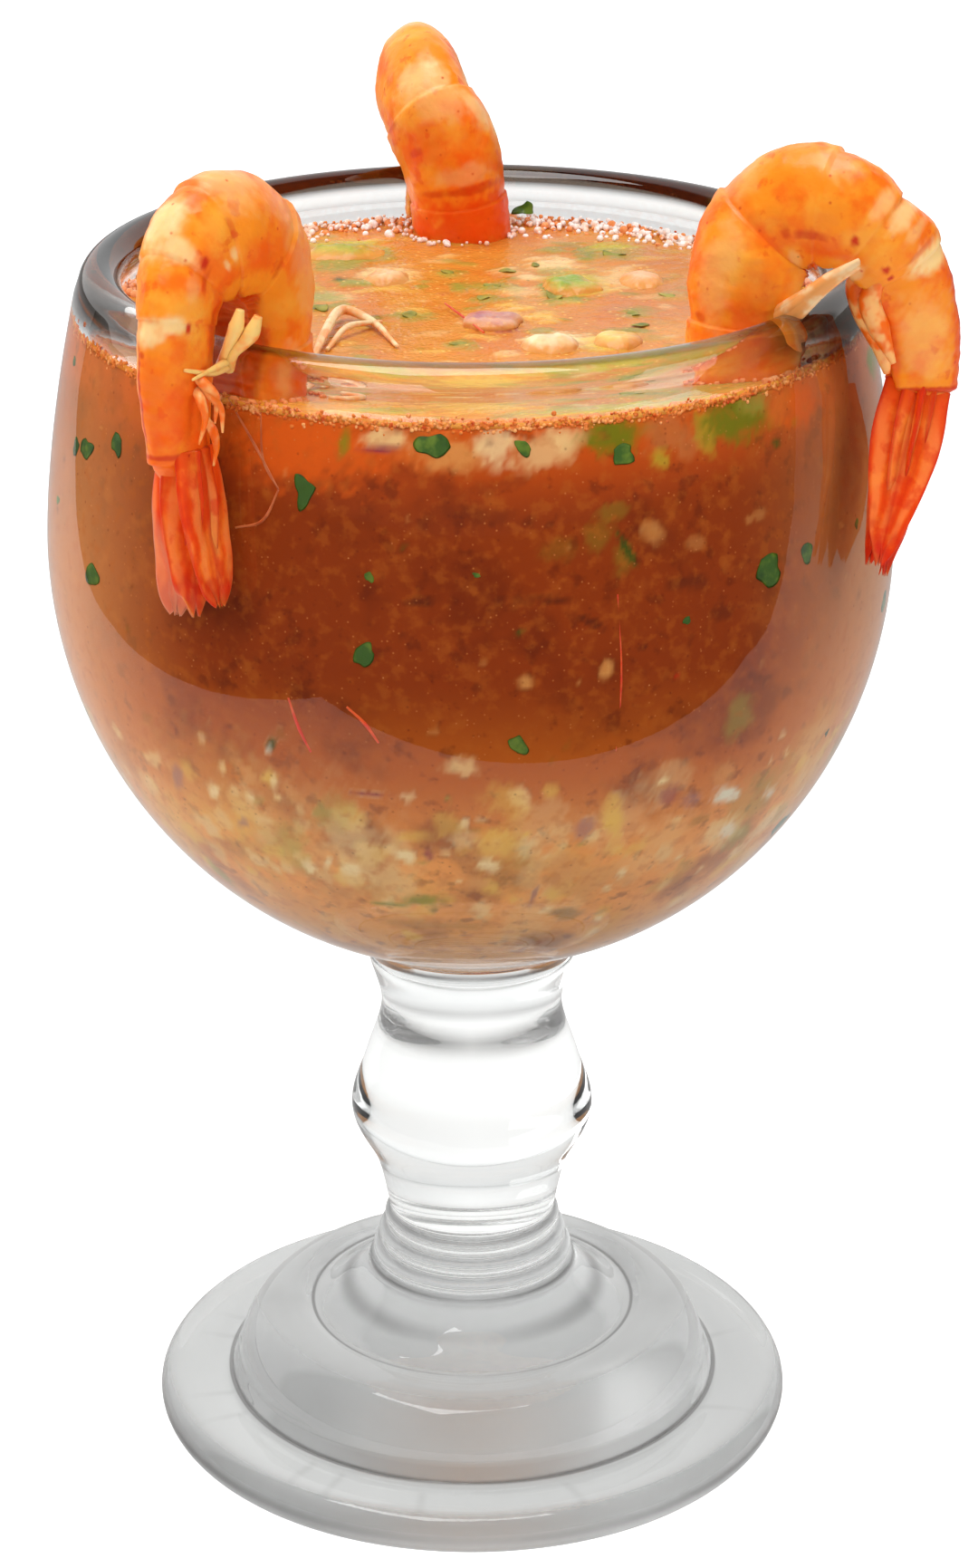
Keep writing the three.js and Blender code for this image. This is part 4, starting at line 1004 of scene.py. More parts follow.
def surface_marks():
    """Pieces that show blurred under the open surface: known ones, a green haze round each flake,
    then a seeded scatter."""
    marks = [
        (27, 31, 7, 8, 0, "dusk", 0.55), (25, 2, 7, 7, 0, "dusk", 0.6),
        (-17, -3, 5, 4, 20, "dusk", 0.5), (-19, 26, 4.6, 7, 10, "dusk", 0.6),
        (-21, 36.5, 8, 5, 6, "avocado", 1.0), (-20.5, 27, 5, 5, 0, "moss", 0.95),
        (-17.3, 16.5, 4, 2.2, -10, "moss", 1.0), (-20, 18, 1.3, 1.2, 0, "herb", 0.8),
        (-14.4, -3.6, 1.4, 2.4, 0, "herb", 0.7), (-23.4, 3, 1.4, 2, 0, "green", 0.8),
        (-12.6, 21, 4.4, 5.4, 0, "pale", 0.9), (-21, 9, 4, 3.4, 0, "pale", 0.6),
        (-14, 33, 2.4, 3.4, 0, "moss", 0.8), (-1.6, 14, 1.6, 2.8, 0, "moss", 1.0),
        (-7.6, 14.6, 1.2, 1.4, 0, "moss", 0.8), (16.5, 16.5, 5.4, 7, 12, "avocado", 0.95),
        (11.7, 13, 1.4, 4.4, 4, "green", 0.9), (14.4, 6.2, 4, 2.2, 12, "green", 0.95),
        (13, 27, 4.2, 4.4, 0, "pale", 0.9), (8.4, 20, 2.6, 2.4, 0, "pale", 0.8),
        (17.8, 33, 2, 5.4, 0, "green", 0.8), (22, 37.6, 4.4, 3.4, 0, "avocado", 0.95),
        (12.6, 35.6, 2.4, 2.4, 0, "moss", 0.8), (22, 30.6, 2.6, 1.8, 0, "moss", 0.8),
        (28, 13, 8, 5, 10, "dusk", 0.6), (33, 2, 5, 6, 0, "dusk", 0.6),
        (23.4, 19.5, 4.4, 6, -10, "pale", 0.7), (29.2, 19, 0.4, 2.6, 28, "red", 0.5),
        (23.8, 10.6, 1.9, 1.3, 0, "green", 0.7), (6.8, 13, 1.2, 2.2, 0, "green", 0.5),
        (6.4, 8, 1.6, 1.6, 0, "moss", 0.5), (29, 4, 1.4, 1.6, 0, "pale", 0.5),
        (6.6, 3.6, 3.2, 2, -20, "yellow", 0.7), (10.8, -2, 2.4, 3.2, 0, "yellow", 0.75),
        (3, -2.4, 4.6, 4.8, 0, "pale", 0.75), (4.9, -7.4, 2.3, 2.4, 0, "purple", 0.8),
        (13, -14, 5, 4.2, 0, "cream", 0.9), (19.4, -15.4, 3.4, 4, 0, "yellow", 0.85),
        (23.4, -9, 3.2, 1.6, -10, "green", 0.8), (10.4, -9, 2, 2.4, 0, "moss", 0.7),
        (-27, -14, 4, 6, 0, "pale", 0.4), (-15.6, -23, 1.8, 2.8, 0, "moss", 0.8),
        (-20, -42, 14, 7, -10, "amber", 0.75), (6, -45, 15, 6, 0, "amber", 0.7),
        (-10.7, -44, 6, 2.6, 6, "avocado", 0.9), (20, -43, 14, 4.5, 14, "avocado", 0.85),
        (2, -40, 8, 5, 0, "yellow", 0.8), (31, -34, 9, 5, 35, "moss", 0.8),
        (14, -34, 3, 1.6, 0, "moss", 0.8), (-24, -38, 5, 3, 0, "orange", 0.6),
    ]
    for (x, y, _), size in flake_places():
        marks.append((x + 0.5, y, 2.6 * size, 2.2 * size, 0, "moss", 0.85))
    random = np.random.default_rng(17)
    names = ["pale", "yellow", "moss", "moss", "green", "pale", "dusk", "avocado"]
    for _ in range(SURFACE_PIECES):
        radius, turn = 50 * math.sqrt(random.random()), random.uniform(0, 2 * math.pi)
        size = random.uniform(0.8, 4.0)
        name = names[random.integers(len(names))]
        x, y = radius * math.cos(turn), radius * math.sin(turn)
        flat = random.uniform(0.4, 0.9)
        marks.append((x, y, size, size * flat, random.uniform(-40, 40), name,
                      random.uniform(0.2, 0.65)))
    return marks


def make_broth_surface():
    """The open surface: a disc with slow waves and soft humps over what lies under it, drawn up
    where it wets the wall, and closed underneath. It is calm, with no pieces, near the right."""
    reach = wall_at(BROTH_LEVEL) + INTO_WALL - 0.03
    radii = np.concatenate([np.linspace(0.3, reach - 3, 110), np.linspace(reach - 2.8, reach, 14)])
    azimuths = np.linspace(0, 360, SURFACE_SIDES, endpoint=False)[None]
    top = polar(azimuths, radii[:, None], BROTH_LEVEL)
    flat = top.reshape(-1, 3)
    x, y, _ = flat.T
    tint, cover = stained(flat, x, y, surface_marks(), 33)
    calm = 0.5 * np.exp(-((x - 30) / 11) ** 2 - ((y - 10) / 19) ** 2)
    calm = calm * (1 - 0.5 * ripple(flat, 9, 6))
    relief = 0.16 * ripple(flat, 14, 2) + 0.07 * ripple(flat, 4, 4) + 0.3 * cover - 0.1
    climb = 0.55 * smooth(np.hypot(x, y), reach - 1.8, reach) ** 2
    top[..., 2] += (relief + climb).reshape(top.shape[:2])
    under = polar(azimuths, np.array([[reach], [0.3]]), BROTH_LEVEL - 0.7)
    spread = {}
    for name, value in {"cover": cover, "tint": tint, "calm": calm}.items():
        above = value.reshape(*top.shape[:2], *value.shape[1:])
        spread[name] = np.concatenate([above, np.zeros((2, *above.shape[1:]))])
    disc = grid(np.concatenate([top, under]), **spread)
    make_piece("broth_surface", disc, surface_finish(), "tomato_broth", "broth")


make_broth_side()
make_broth_surface()


# ---------------------------------------------------------------- chopped pieces
def make_chunks():
    """The chopped pieces afloat: balls drawn out towards boxes, with soft dents."""
    finishes = {
        "avocado_slice": chunk_finish("avocado_slice", shade(190, 184, 66), shade(150, 158, 48)),
        "avocado_cube": chunk_finish("avocado_cube", shade(142, 166, 62), shade(176, 184, 82)),
        "onion_square": chunk_finish("onion", shade(226, 176, 160), shade(158, 84, 124)),
        "pale_chunk": chunk_finish("pale_flesh", shade(255, 232, 186), shade(246, 206, 146)),
        "yellow_chunk": chunk_finish("yellow_flesh", shade(246, 210, 110), shade(250, 224, 150)),
        "far_chunk": chunk_finish("peach_flesh", shade(244, 188, 136), shade(250, 214, 168)),
        "side_chunk": chunk_finish("rose_flesh", shade(238, 176, 132), shade(246, 204, 164)),
    }
    for seed, (name, (at, size, turn, showing, roundness, slot)) in enumerate(FLOATING.items()):
        centre = (*at, BROTH_LEVEL + (showing - 0.5) * size[2])
        half = [0.485 * extent for extent in size]
        chunk = ball(centre, half, mix(0.35, 1, roundness), 40, 64, turn)
        outward = unit(chunk.points - np.array(centre))
        dents = 0.3 * ripple(chunk.points, 4, seed) + 0.12 * ripple(chunk.points, 1.5, seed + 20)
        chunk.points = chunk.points + outward * dents[:, None]
        make_piece(name + "_flesh", chunk, finishes[name], slot, name)


make_chunks()


# ---------------------------------------------------------------- froth
def make_froth():
    """Bubbles: a band all round the waterline, wider at the far side and whiter there, partly as
    paler froth and partly as painted sparkle, rings where the shrimp go into the broth, and beads
    held between the broth and the glass."""
    random = np.random.default_rng(41)
    shore = wall_at(BROTH_LEVEL)
    places = []
    while len(places) < FROTH_BUBBLES:
        azimuth = random.uniform(0, 360)
        far = max(0.0, math.sin(math.radians(azimuth)))
        if random.random() > 0.35 + 0.65 * far:
            continue
        size = min(0.2 + random.exponential(0.18), 0.75)
        inward = size * 0.7 + random.exponential(0.4 + 1.7 * far)
        lift = random.uniform(-0.2, 0.35) + 1.1 * far * random.random() * math.exp(-inward / 2)
        place = polar(azimuth, shore - inward, BROTH_LEVEL + lift)
        # whiter at the far side: partly paler froth, partly painted sparkle
        places.append((place, size, smooth(far, 0.1, 0.7) * (random.random() > 0.25)))
    for hook in SHRIMP.values():
        foot = polar(hook["azimuth"]["head"], hook["head_radius"] - 1.5, BROTH_LEVEL)
        for _ in range(RING_BUBBLES):
            angle = random.uniform(0, 2 * math.pi)
            out = random.uniform(7.6, 9.8)
            place = foot + np.array([out * math.cos(angle), out * math.sin(angle), 0.2])
            if np.hypot(*place[:2]) < shore - 1:
                places.append((place, random.uniform(0.2, 0.55), 0.8 * (place[1] > 0)))
    bubbles = []
    for place, size, white in places:
        bubble = ball(place, (size, size, size), rows=5, sides=8)
        bubble.values["white"] = np.full(len(bubble.points), float(white))
        bubbles.append(bubble)
    make_piece("froth", joined(bubbles), bubble_finish(), "tomato_broth", "broth")
    beads = []
    for _ in range(WATERLINE_BEADS):
        azimuth = random.uniform(0, 360)
        size = random.uniform(0.14, 0.38)
        height = BROTH_LEVEL + random.normal(-0.1, 0.45)
        place = polar(azimuth, wall_at(height) + INTO_WALL - 0.35 * size, height)
        beads.append(ball(place, (size, size, size), rows=4, sides=8))
    make_piece("waterline_beads", joined(beads), bead_finish(), "tomato_broth", "broth")


make_froth()


# ---------------------------------------------------------------- herbs
def leaf(centre, facing, turn, size, seed):
    """A chopped leaf: a thin pillow over a cut outline, a little cupped. The distance out of the
    outline at an angle is that of a polygon's side, with two and three low lobes round it."""
    random = np.random.default_rng(seed)
    angles = np.linspace(0, 2 * np.pi, 40, endpoint=False)[None]
    corner = 2 * np.pi / random.integers(3, 6)
    within = (angles + random.uniform(0, 6)) % corner - corner / 2
    outline = 0.62 * np.cos(0.45 * corner) / np.cos(0.9 * within) \
        + 0.1 * np.cos(2 * angles + random.uniform(0, 6)) \
        + 0.08 * np.cos(3 * angles + random.uniform(0, 6)) + 0.18
    share = np.concatenate([np.linspace(0.04, 1, 7), np.linspace(0.96, 0.04, 6)])[:, None]
    side = np.concatenate([np.ones(7), -np.ones(6)])[:, None]
    x = size * outline * share * np.cos(angles)
    y = random.uniform(0.55, 0.9) * size * outline * share * np.sin(angles)
    cup = random.uniform(0.02, 0.14) * size * share**2 * np.cos(2 * angles + random.uniform(0, 6))
    lift = cup + side * 0.1 * (1 - share**6)
    facing = unit(np.asarray(facing, float))
    across = unit(np.cross(facing, np.array([0.3, 0.5, 0.81])))
    upward = np.cross(facing, across)
    c, s = math.cos(turn), math.sin(turn)
    rows = (c * x - s * y)[..., None] * across + (s * x + c * y)[..., None] * upward
    return grid(np.asarray(centre, float) + rows + lift[..., None] * facing)


def leaf_on_glass(azimuth, height, size, seed):
    """A leaf pressed flat, then moved along its radius until it follows the inside of the bowl."""
    outward = polar(azimuth, 1.0, 0.0)
    flat = leaf((0, 0, 0), outward, 1.3 * seed, size, seed)
    depth = flat.points @ outward
    place = polar(azimuth, wall_at(height) + INTO_WALL + 0.12, height)
    flat.points = flat.points - 0.9 * depth[:, None] * outward + place
    reach = np.hypot(flat.points[:, 0], flat.points[:, 1])
    wanted = inside_radius(flat.points[:, 2]) + INTO_WALL + 0.08 + 0.1 * depth
    flat.points[:, :2] *= (wanted / reach)[:, None]
    return flat


def make_herbs():
    """Leaves afloat, on the shrimp, by the far wall, and against the glass under the broth."""
    leaves = []
    for seed, (place, size) in enumerate(flake_places()):
        leaves.append(leaf(place - [0, 0, 0.3], (0.03, -0.03, 1), 0.9 * seed, 1.5 * size, seed))
    afloat = [(-22.3, 3, 2.2), (5.6, 23, 1.8), (12.5, 8.8, 3.2), (25, -6.6, 1.7), (10, 26, 1.6)]
    for seed, (x, y, size) in enumerate(afloat, 40):
        leaves.append(leaf((x, y, BROTH_LEVEL + 0.2), (0.04, 0, 1), 1.7 * seed, size, seed))
    for seed, flat in enumerate(leaves):
        flat.values["film"] = 0.7 + 0.4 * ripple(flat.points, 2, 90 + seed)
    against_glass = [(-95, 181.4, 3.0), (-113, 173.9, 3.3), (-82.5, 181, 1.7), (-103.9, 152.1, 2.6),
                     (-83.4, 139.2, 2.4), (-45.9, 158.9, 3.4), (-38, 159.4, 2.3), (-156.8, 170.2, 3.0),
                     (-148, 173.4, 2.4), (-152, 153.1, 2.9), (-68.3, 179, 2.4), (-103.3, 163.1, 1.0),
                     (-89, 163.9, 0.8), (-60, 154.8, 0.9)]
    random = np.random.default_rng(61)
    for _ in range(GLASS_LEAVES):
        height = random.uniform(112, 180)
        against_glass.append((random.uniform(-30, 205), height, random.uniform(0.8, 2.8)))
    for seed, (azimuth, height, size) in enumerate(against_glass, 80):
        leaves.append(leaf_on_glass(azimuth, height, size, seed))
    leaves.append(leaf((35.6, -18.4, 190.6), (-0.55, -0.75, 0.3), 0.4, 2.3, 201))
    leaves.append(leaf((34.0, -19.8, 187.2), (-0.5, -0.8, 0.2), 2.0, 2.0, 202))
    leaves.append(leaf((8.4, 50.6, 186.6), (0.2, -0.8, 0.5), 0.7, 2.6, 203))
    make_piece("herb_leaves", joined(leaves), herb_finish(), "tomato_broth", "broth")


make_herbs()


# ---------------------------------------------------------------- shrimp
class Guide:
    """The line that a shrimp follows from its cut end in the broth, over the rim, to the tip of
    its tail; its back faces away from the hub, and the tail root is at a distance along it."""

    def __init__(self, hook):
        azimuth, arch = hook["azimuth"], hook["arch"]
        turns = np.linspace(10, 170, 6)
        angles = np.radians(turns)
        foot = np.where(turns < 90, azimuth["head"], azimuth["leg"])
        where = mix(foot, azimuth["crown"], np.sqrt(np.sin(angles)))
        radius = arch["radius"] - arch["reach"] * np.cos(angles) - arch["lean"] * np.sin(angles)
        over_rim = polar(where, radius, arch["foot"] + arch["rise"] * np.sin(angles))
        root, tip = polar(azimuth["leg"], *hook["root"]), polar(azimuth["tip"], *hook["tip"])
        cut = polar(azimuth["head"], hook["head_radius"], BROTH_LEVEL - SHRIMP_SUNK)
        waterline = polar(azimuth["head"], hook["head_radius"], BROTH_LEVEL)
        self.path = spline(np.vstack([cut, waterline, over_rim, root, tip]), 60)
        self.reached = distances_along(self.path)
        self.tail = float(np.linalg.norm(tip - root))
        self.root = self.reached[-1] - self.tail
        self.hub = polar(azimuth["crown"], arch["radius"], BROTH_LEVEL)
        self.tip = tip

    def stations(self, distances):
        """Middles and the directions along, out of the back and sideways, at given distances."""
        middle = points_at(self.path, distances)
        slopes = np.gradient(self.path, self.reached, axis=0)
        along = unit(np.stack([np.interp(distances, self.reached, part) for part in slopes.T], -1))
        back = middle - self.hub
        back = unit(back - (back * along).sum(-1, keepdims=True) * along)
        return middle, along, back, np.cross(along, back)


def marked(distances, turns, marks, wobble):
    """How far marks cover a grid of distances and turns: each is a blurred ellipse that
    unevenness bends, and the strongest counts."""
    total = np.zeros(np.broadcast_shapes(distances.shape, turns.shape))
    for middle, half, turn, half_turn, amount in marks:
        reach = np.hypot((distances - middle) / half, (turns - turn) / half_turn)
        total = np.maximum(total, amount * (1 - smooth(reach + wobble, 0.45, 1.3)))
    return total


def shrimp_body(guide, hook):
    """The plated body, swept along its guide line. Across is half the width times the sine of the
    angle from the back; up is the depth's share times its cosine. Each plate flares towards the
    tail and steps down to the next, and its lower edge stands over the belly in a curved lap.
    The marks past 40 degrees on the far side mirror the near side's."""
    seed = hook["seed"]
    distances = np.linspace(0, guide.root + INTO_FAN, 400)
    edges = guide.root - np.concatenate([[0], np.cumsum(PLATE_LENGTHS)])
    edges = np.append(edges, 0.0)
    plate = np.clip((distances[:, None] < edges[None, 1:]).sum(1), 0, 5)
    share = np.clip((edges[plate] - distances) / (edges[plate] - edges[plate + 1]), 0, 1)
    flare = 1 + 0.05 * (0.5 - share) + 0.03 * np.sin(np.pi * share)
    past = smooth(distances, guide.root, guide.root + INTO_FAN)
    ledge = smooth(distances, guide.root - 0.1, guide.root + 0.5)
    cut = smooth(distances, -0.6, 1.4)
    scale = (1 - 0.12 * ledge - 0.33 * past) * mix(0.6, 1, cut) * flare
    depth = mix(DEPTHS[plate], DEPTHS[plate + 1], share) * scale
    width = mix(WIDTHS[plate], WIDTHS[plate + 1], share) * scale
    middle, _, back, side = guide.stations(distances)

    angle = np.linspace(0, 2 * np.pi, 112, endpoint=False)[None]
    turn = np.degrees(np.arccos(np.cos(angle)))
    column = share[:, None]
    lap = 122 + 12 * np.sin(np.pi * column) + 0 * angle
    under = smooth(turn, lap - 2, lap + 5)
    inset = 0.7 * under - 0.25 * smooth(turn, lap - 26, lap - 4) * (1 - under)
    narrowing = 1 - 0.1 * (1 - np.cos(angle))
    across = (width[:, None] / 2 - inset) * np.sin(angle) * narrowing
    reach = np.where(np.cos(angle) > 0, 1 - BELLY_SHARE, BELLY_SHARE) * depth[:, None]
    groove = BELLY_GROOVE * smooth(-np.cos(angle), 0.8, 1)
    up = (reach - inset) * np.cos(angle) + groove
    rows = middle[:, None] + across[..., None] * side[:, None] + up[..., None] * back[:, None]
    outward = unit(rows - middle[:, None])
    bumps = 0.16 * ripple(rows, 5, seed) + 0.07 * ripple(rows, 1.6, seed + 1)
    folds = 0.18 * under * np.cos(distances[:, None] * 3.6)
    rows = rows + outward * (bumps + folds)[..., None]

    wobble = 0.22 * ripple(rows, 4, seed + 2) + 0.16 * ripple(rows, 1.3, seed + 3)
    seen = hook["side"] * np.degrees(np.arctan2(np.sin(angle), np.cos(angle)))
    seen = np.where(seen < -40, -seen, seen)
    along = distances[:, None]
    spread = {name: marked(along, seen, hook[name], wobble) for name in ("pale", "red", "deep")}
    return grid(rows, belly=under * np.ones_like(wobble), **spread)


def fan_blade(guide, blade, fan, seed):
    """One blade of the tail fan: a long leaf that widens, then narrows to a frayed tip, a little
    hollow across, with a raised middle rib and fine ribs beside it."""
    middle, along, back, side = (value[0] for value in guide.stations(np.array([guide.root])))
    spread = fan["spread"]
    to_tip = unit(guide.tip - middle)
    direction = unit(to_tip + side * blade["sideways"] * spread + back * blade["lift"] * spread)
    roll = math.radians(blade["roll"] + fan.get("twist", 0))
    face = back * math.cos(roll) + side * math.sin(roll)
    across = unit(np.cross(direction, face))
    normal = unit(np.cross(across, direction))
    start = middle + (fan.get("drop", 0) - 1.5) * along + back * (1 + blade["lift"] * 10) \
        + side * (blade["sideways"] * 11 + fan.get("shift", 0))
    share = np.linspace(0, 1, 72)[:, None]
    angle = np.linspace(0, 2 * np.pi, 56, endpoint=False)[None]
    over = np.cos(angle)
    swell = mix(fan.get("start", 0.78), 1, smooth(share, 0, 0.4))
    narrowing = 1 - fan["narrowing"] * np.clip((share - 0.15) / 0.85, 0, 1) ** 1.5
    tip_round = np.sqrt(np.clip(1 - smooth(share, 0.82, 1.04) ** 2, 0.02, 1))
    half = blade["width"] / 2 * swell * narrowing * tip_round
    fray = 1 - 0.1 * smooth(share, 0.75, 1) * (1 + np.cos(7 * over + 2 * seed)) / 2
    thick = blade["thickness"] / 2 * mix(1.1, 0.3, share) * np.sin(angle)
    ribs = 0.2 * np.exp(-((over / 0.1) ** 2)) + 0.035 * np.cos(over * 17)
    hollow = -0.25 * (1 - over**2) * smooth(share, 0.1, 0.5)
    height = thick + np.sign(np.sin(angle)) * ribs * smooth(share, 0.02, 0.2) * (1 - share) + hollow
    rows = start + (share * fray * blade["length"] * guide.tail)[..., None] * direction \
        + (half * over)[..., None] * across + height[..., None] * normal
    crinkle = 0.16 * ripple(rows, 5, 70 + seed) * smooth(share, 0.1, 0.5)
    rows = rows + crinkle[..., None] * normal
    streak = 0.5 + 0.5 * np.cos(over * 9 + 1.3 * seed + 2 * ripple(rows, 9, 60 + seed))
    rib = np.maximum(np.exp(-((over / 0.1) ** 2)), smooth(np.abs(over), 0.88, 0.98))
    rib = np.maximum(rib, 0.6 * smooth(streak, 0.75, 0.98) * smooth(share, 0.1, 0.3))
    web = (1 - smooth(streak, 0.2, 0.7)) * smooth(share, 0.05, 0.3)
    tip = smooth(share + 0.1 * ripple(rows, 2, 50 + seed), 0.66, 0.98)
    # clear share: the lobe's paler translucent horn, with painted light showing through it
    high, low = fan.get("clear", (99, 99))
    beside = (rows - middle) @ side
    clear = smooth(beside - mix(high, low, share / 0.75), -1.0, 1.0) * mix(0.6, 1, rib)
    return grid(rows, rib=rib, web=web, tip=tip, clear=clear)


def make_shrimp():
    """Each shrimp's body, and its tail fan of five blades."""
    flesh, horn = flesh_finish(), fan_finish()
    blades = list(FAN_BLADES)
    for blade in FAN_BLADES[1:]:
        blades.append({**blade, "sideways": -blade["sideways"], "roll": -blade["roll"]})
    for name, hook in SHRIMP.items():
        guide = Guide(hook)
        fan = [fan_blade(guide, blade, hook["fan"], k) for k, blade in enumerate(blades)]
        make_piece(name + "_body", shrimp_body(guide, hook), flesh, "cooked_shrimp", name)
        make_piece(name + "_fan", joined(fan), horn, "cooked_shrimp", name)


make_shrimp()


def limb(corners, radii, steps=14, sides=10):
    """A leg or feeler: a tube on a smooth curve through its corners, its radius carried evenly
    from corner to corner."""
    path = spline(corners, steps)
    along = np.linspace(0, len(radii) - 1, len(path))
    return tube(path, np.interp(along, np.arange(len(radii)), radii), sides)


def limb_on_glass(corners, thickness):
    """A limb that lies against the inside of the bowl, through (azimuth, height) corners."""
    places = [polar(azimuth, wall_at(height) + 0.1, height) for azimuth, height in corners]
    return limb(places, [thickness * 0.6, thickness, thickness * 0.6], 16, 8)


def make_shrimp_legs():
    """Swimming legs that stand out from the left and the right shrimp: clubbed and spiky ones
    over the rim, and frills along the belly."""
    yellow = leg_finish("leg_yellow", shade(246, 200, 116), shade(250, 140, 52))
    rosy = leg_finish("leg_rosy", shade(248, 158, 84), shade(252, 212, 164))
    orange = leg_finish("leg_orange", shade(248, 110, 20), shade(254, 196, 120))
    clubs = [
        limb([(-33, -48, 190), (-32, -50.4, 193), (-29.6, -51.2, 196), (-28.6, -51.2, 198.4)],
             [0.8, 0.7, 1.2, 0.6], 16, 14),
        limb([(-34, -48, 190.5), (-33, -50.4, 193.6), (-31.6, -51.4, 197), (-31, -51.4, 199.4)],
             [0.8, 0.7, 1.1, 0.6], 16, 14),
        limb([(-33, -48.5, 190.6), (-35, -52.6, 190.8), (-38.4, -56.6, 192.4)], [0.7, 0.5, 0.25]),
        limb([(-33, -49.5, 191.6), (-35, -53, 191.4), (-37.4, -56.4, 191)], [0.6, 0.4, 0.2]),
    ]
    frill_lines = [
        (0.7, 0.8, [(-37.6, -53, 191), (-36, -54.8, 190), (-34.4, -54.6, 188), (-34.6, -55, 184.4)]),
        (0.6, 0.7, [(-37, -53, 190), (-35.4, -54.6, 188.6), (-33.8, -54.6, 186.4),
                    (-33.6, -54.8, 183)]),
        (0.7, 0.7, [(-37.4, -53.4, 189), (-36.4, -56, 188), (-35.8, -56.4, 185.6),
                    (-36.7, -57, 182)]),
        (0.6, 0.7, [(-36.4, -51, 184), (-35, -53, 182.6), (-34.6, -53.4, 180.6), (-35, -54, 178)]),
    ]
    frills = [limb(line, [root, middle, middle - 0.2, 0.15], 16, 12)
              for root, middle, line in frill_lines]
    spikes = []
    for low, high, thick in ((1.0, 0.3, 0.9), (0.3, 0.5, 1.1), (-0.6, 0.1, 1.1), (-1.4, -0.4, 0.9)):
        spikes.append(limb([(39.4, -24, 187.4 + low), (45.4, -30.2, 193.2 + low),
                            (50.2, -32.6, 197.8 + high), (54.4, -33.6, 200.9 + high)],
                           [thick, 1.1 * thick, 0.9 * thick, 0.35], 20, 10))
    belly = [limb([(57.8, -26.4, 199.2), (55.4, -25.5, 195.8), (56.3, -25.9, 192),
                   (58.2, -26.6, 188.2), (59.5, -27.1, 183)], [1.2, 2.1, 2.1, 1.8, 0.5], 16, 16),
             limb([(58.2, -28.4, 198), (56.6, -27.8, 194), (58, -28.2, 190), (60.2, -28.8, 185)],
                  [1.0, 1.7, 1.6, 0.4], 16, 16)]
    make_piece("swimming_legs_left", joined(clubs), yellow, "cooked_shrimp")
    make_piece("swimming_frills_left", joined(frills), orange, "cooked_shrimp")
    make_piece("swimming_legs_right", joined(spikes), rosy, "cooked_shrimp")
    make_piece("swimming_frills_right", joined(belly), orange, "cooked_shrimp")


def make_loose_limbs():
    """Loose legs and feelers, on the surface and sunk against the glass."""
    pale = leg_finish("leg_pale", shade(252, 220, 170), shade(248, 160, 84))
    red = leg_finish("feeler_red", shade(214, 48, 10), shade(230, 96, 40))
    brown = leg_finish("leg_sunk", shade(196, 104, 56), shade(168, 72, 26))
    level = BROTH_LEVEL + 0.4
    loose = [
        limb([(-22.5, -26.5, level), (-21, -16, level + 1.4), (-18.5, -3.5, level + 1.2),
              (-14.4, -7.6, level + 0.6), (-10.5, -18.2, level)], [0.35, 0.7, 0.75, 0.6, 0.3], 20),
        limb([(-20.6, -20, level), (-17.6, -11, level + 0.9), (-13, -7.4, level + 0.5)],
             [0.3, 0.5, 0.3]),
        limb([(-17.4, -29.4, level), (-14.6, -33, level), (-16.6, -36.4, level),
              (-19.1, -35.9, level)], [0.5, 0.55, 0.5, 0.3]),
    ]
    feeler = limb([(-3.8, 3, level + 0.3), (-1, -4, level + 0.2), (2, -11.3, level)],
                  [0.15, 0.2, 0.15], 16, 8)
    thin = [limb_on_glass([(-114.7, 144.5), (-113.4, 140), (-112, 136.6)], 0.3),
            limb_on_glass([(-106.4, 144.3), (-104, 142), (-102.2, 139.2)], 0.3),
            limb_on_glass([(-70, 160), (-69.6, 148), (-69.8, 137)], 0.18)]
    bent = [limb_on_glass([(-126.2, 184.5), (-121, 179), (-116.8, 173.6)], 0.24),
            limb_on_glass([(-120.6, 183.6), (-119.4, 177), (-116.8, 173.6)], 0.2),
            limb_on_glass([(-116.8, 173.6), (-119, 169), (-123.2, 167.3)], 0.26)]
    make_piece("loose_leg", joined(loose), pale, "tomato_broth", "broth")
    make_piece("feeler", feeler, red, "tomato_broth", "broth")
    make_piece("sunk_feelers", joined(thin), red, "tomato_broth")
    make_piece("sunk_legs", joined(bent), brown, "tomato_broth")


make_shrimp_legs()
make_loose_limbs()


# ---------------------------------------------------------------- stage
FLOOR_REACH = 6.0  # metres from the middle
FLOOR_LEVEL = -0.05 * MM  # just clear of the goblet's standing ring
DARK_LEVEL = 0.6 * MM
FLOOR_GLOW = {"Is Camera Ray": 0.8, "Is Diffuse Ray": 0.65, "Is Transmission Ray": 0.6}

# The table's edge in front of the goblet, from right to left, in metres
TABLE_EDGE = [(0.7, -0.064), (0.25, -0.15), (-0.215, -0.285), (-0.7, 0.7)]


def flat_card(name, corners, level, finish):
    """A flat piece of the stage at a level, with its corners in metres."""
    mesh = bpy.data.meshes.new(name)
    places = [(x, y, level) for x, y in corners]
    mesh.from_pydata(places, [], [tuple(range(len(places)))])
    mesh.materials.append(finish.material)
    board = bpy.data.objects.new(name, mesh)
    bpy.context.scene.collection.objects.link(board)
    return board


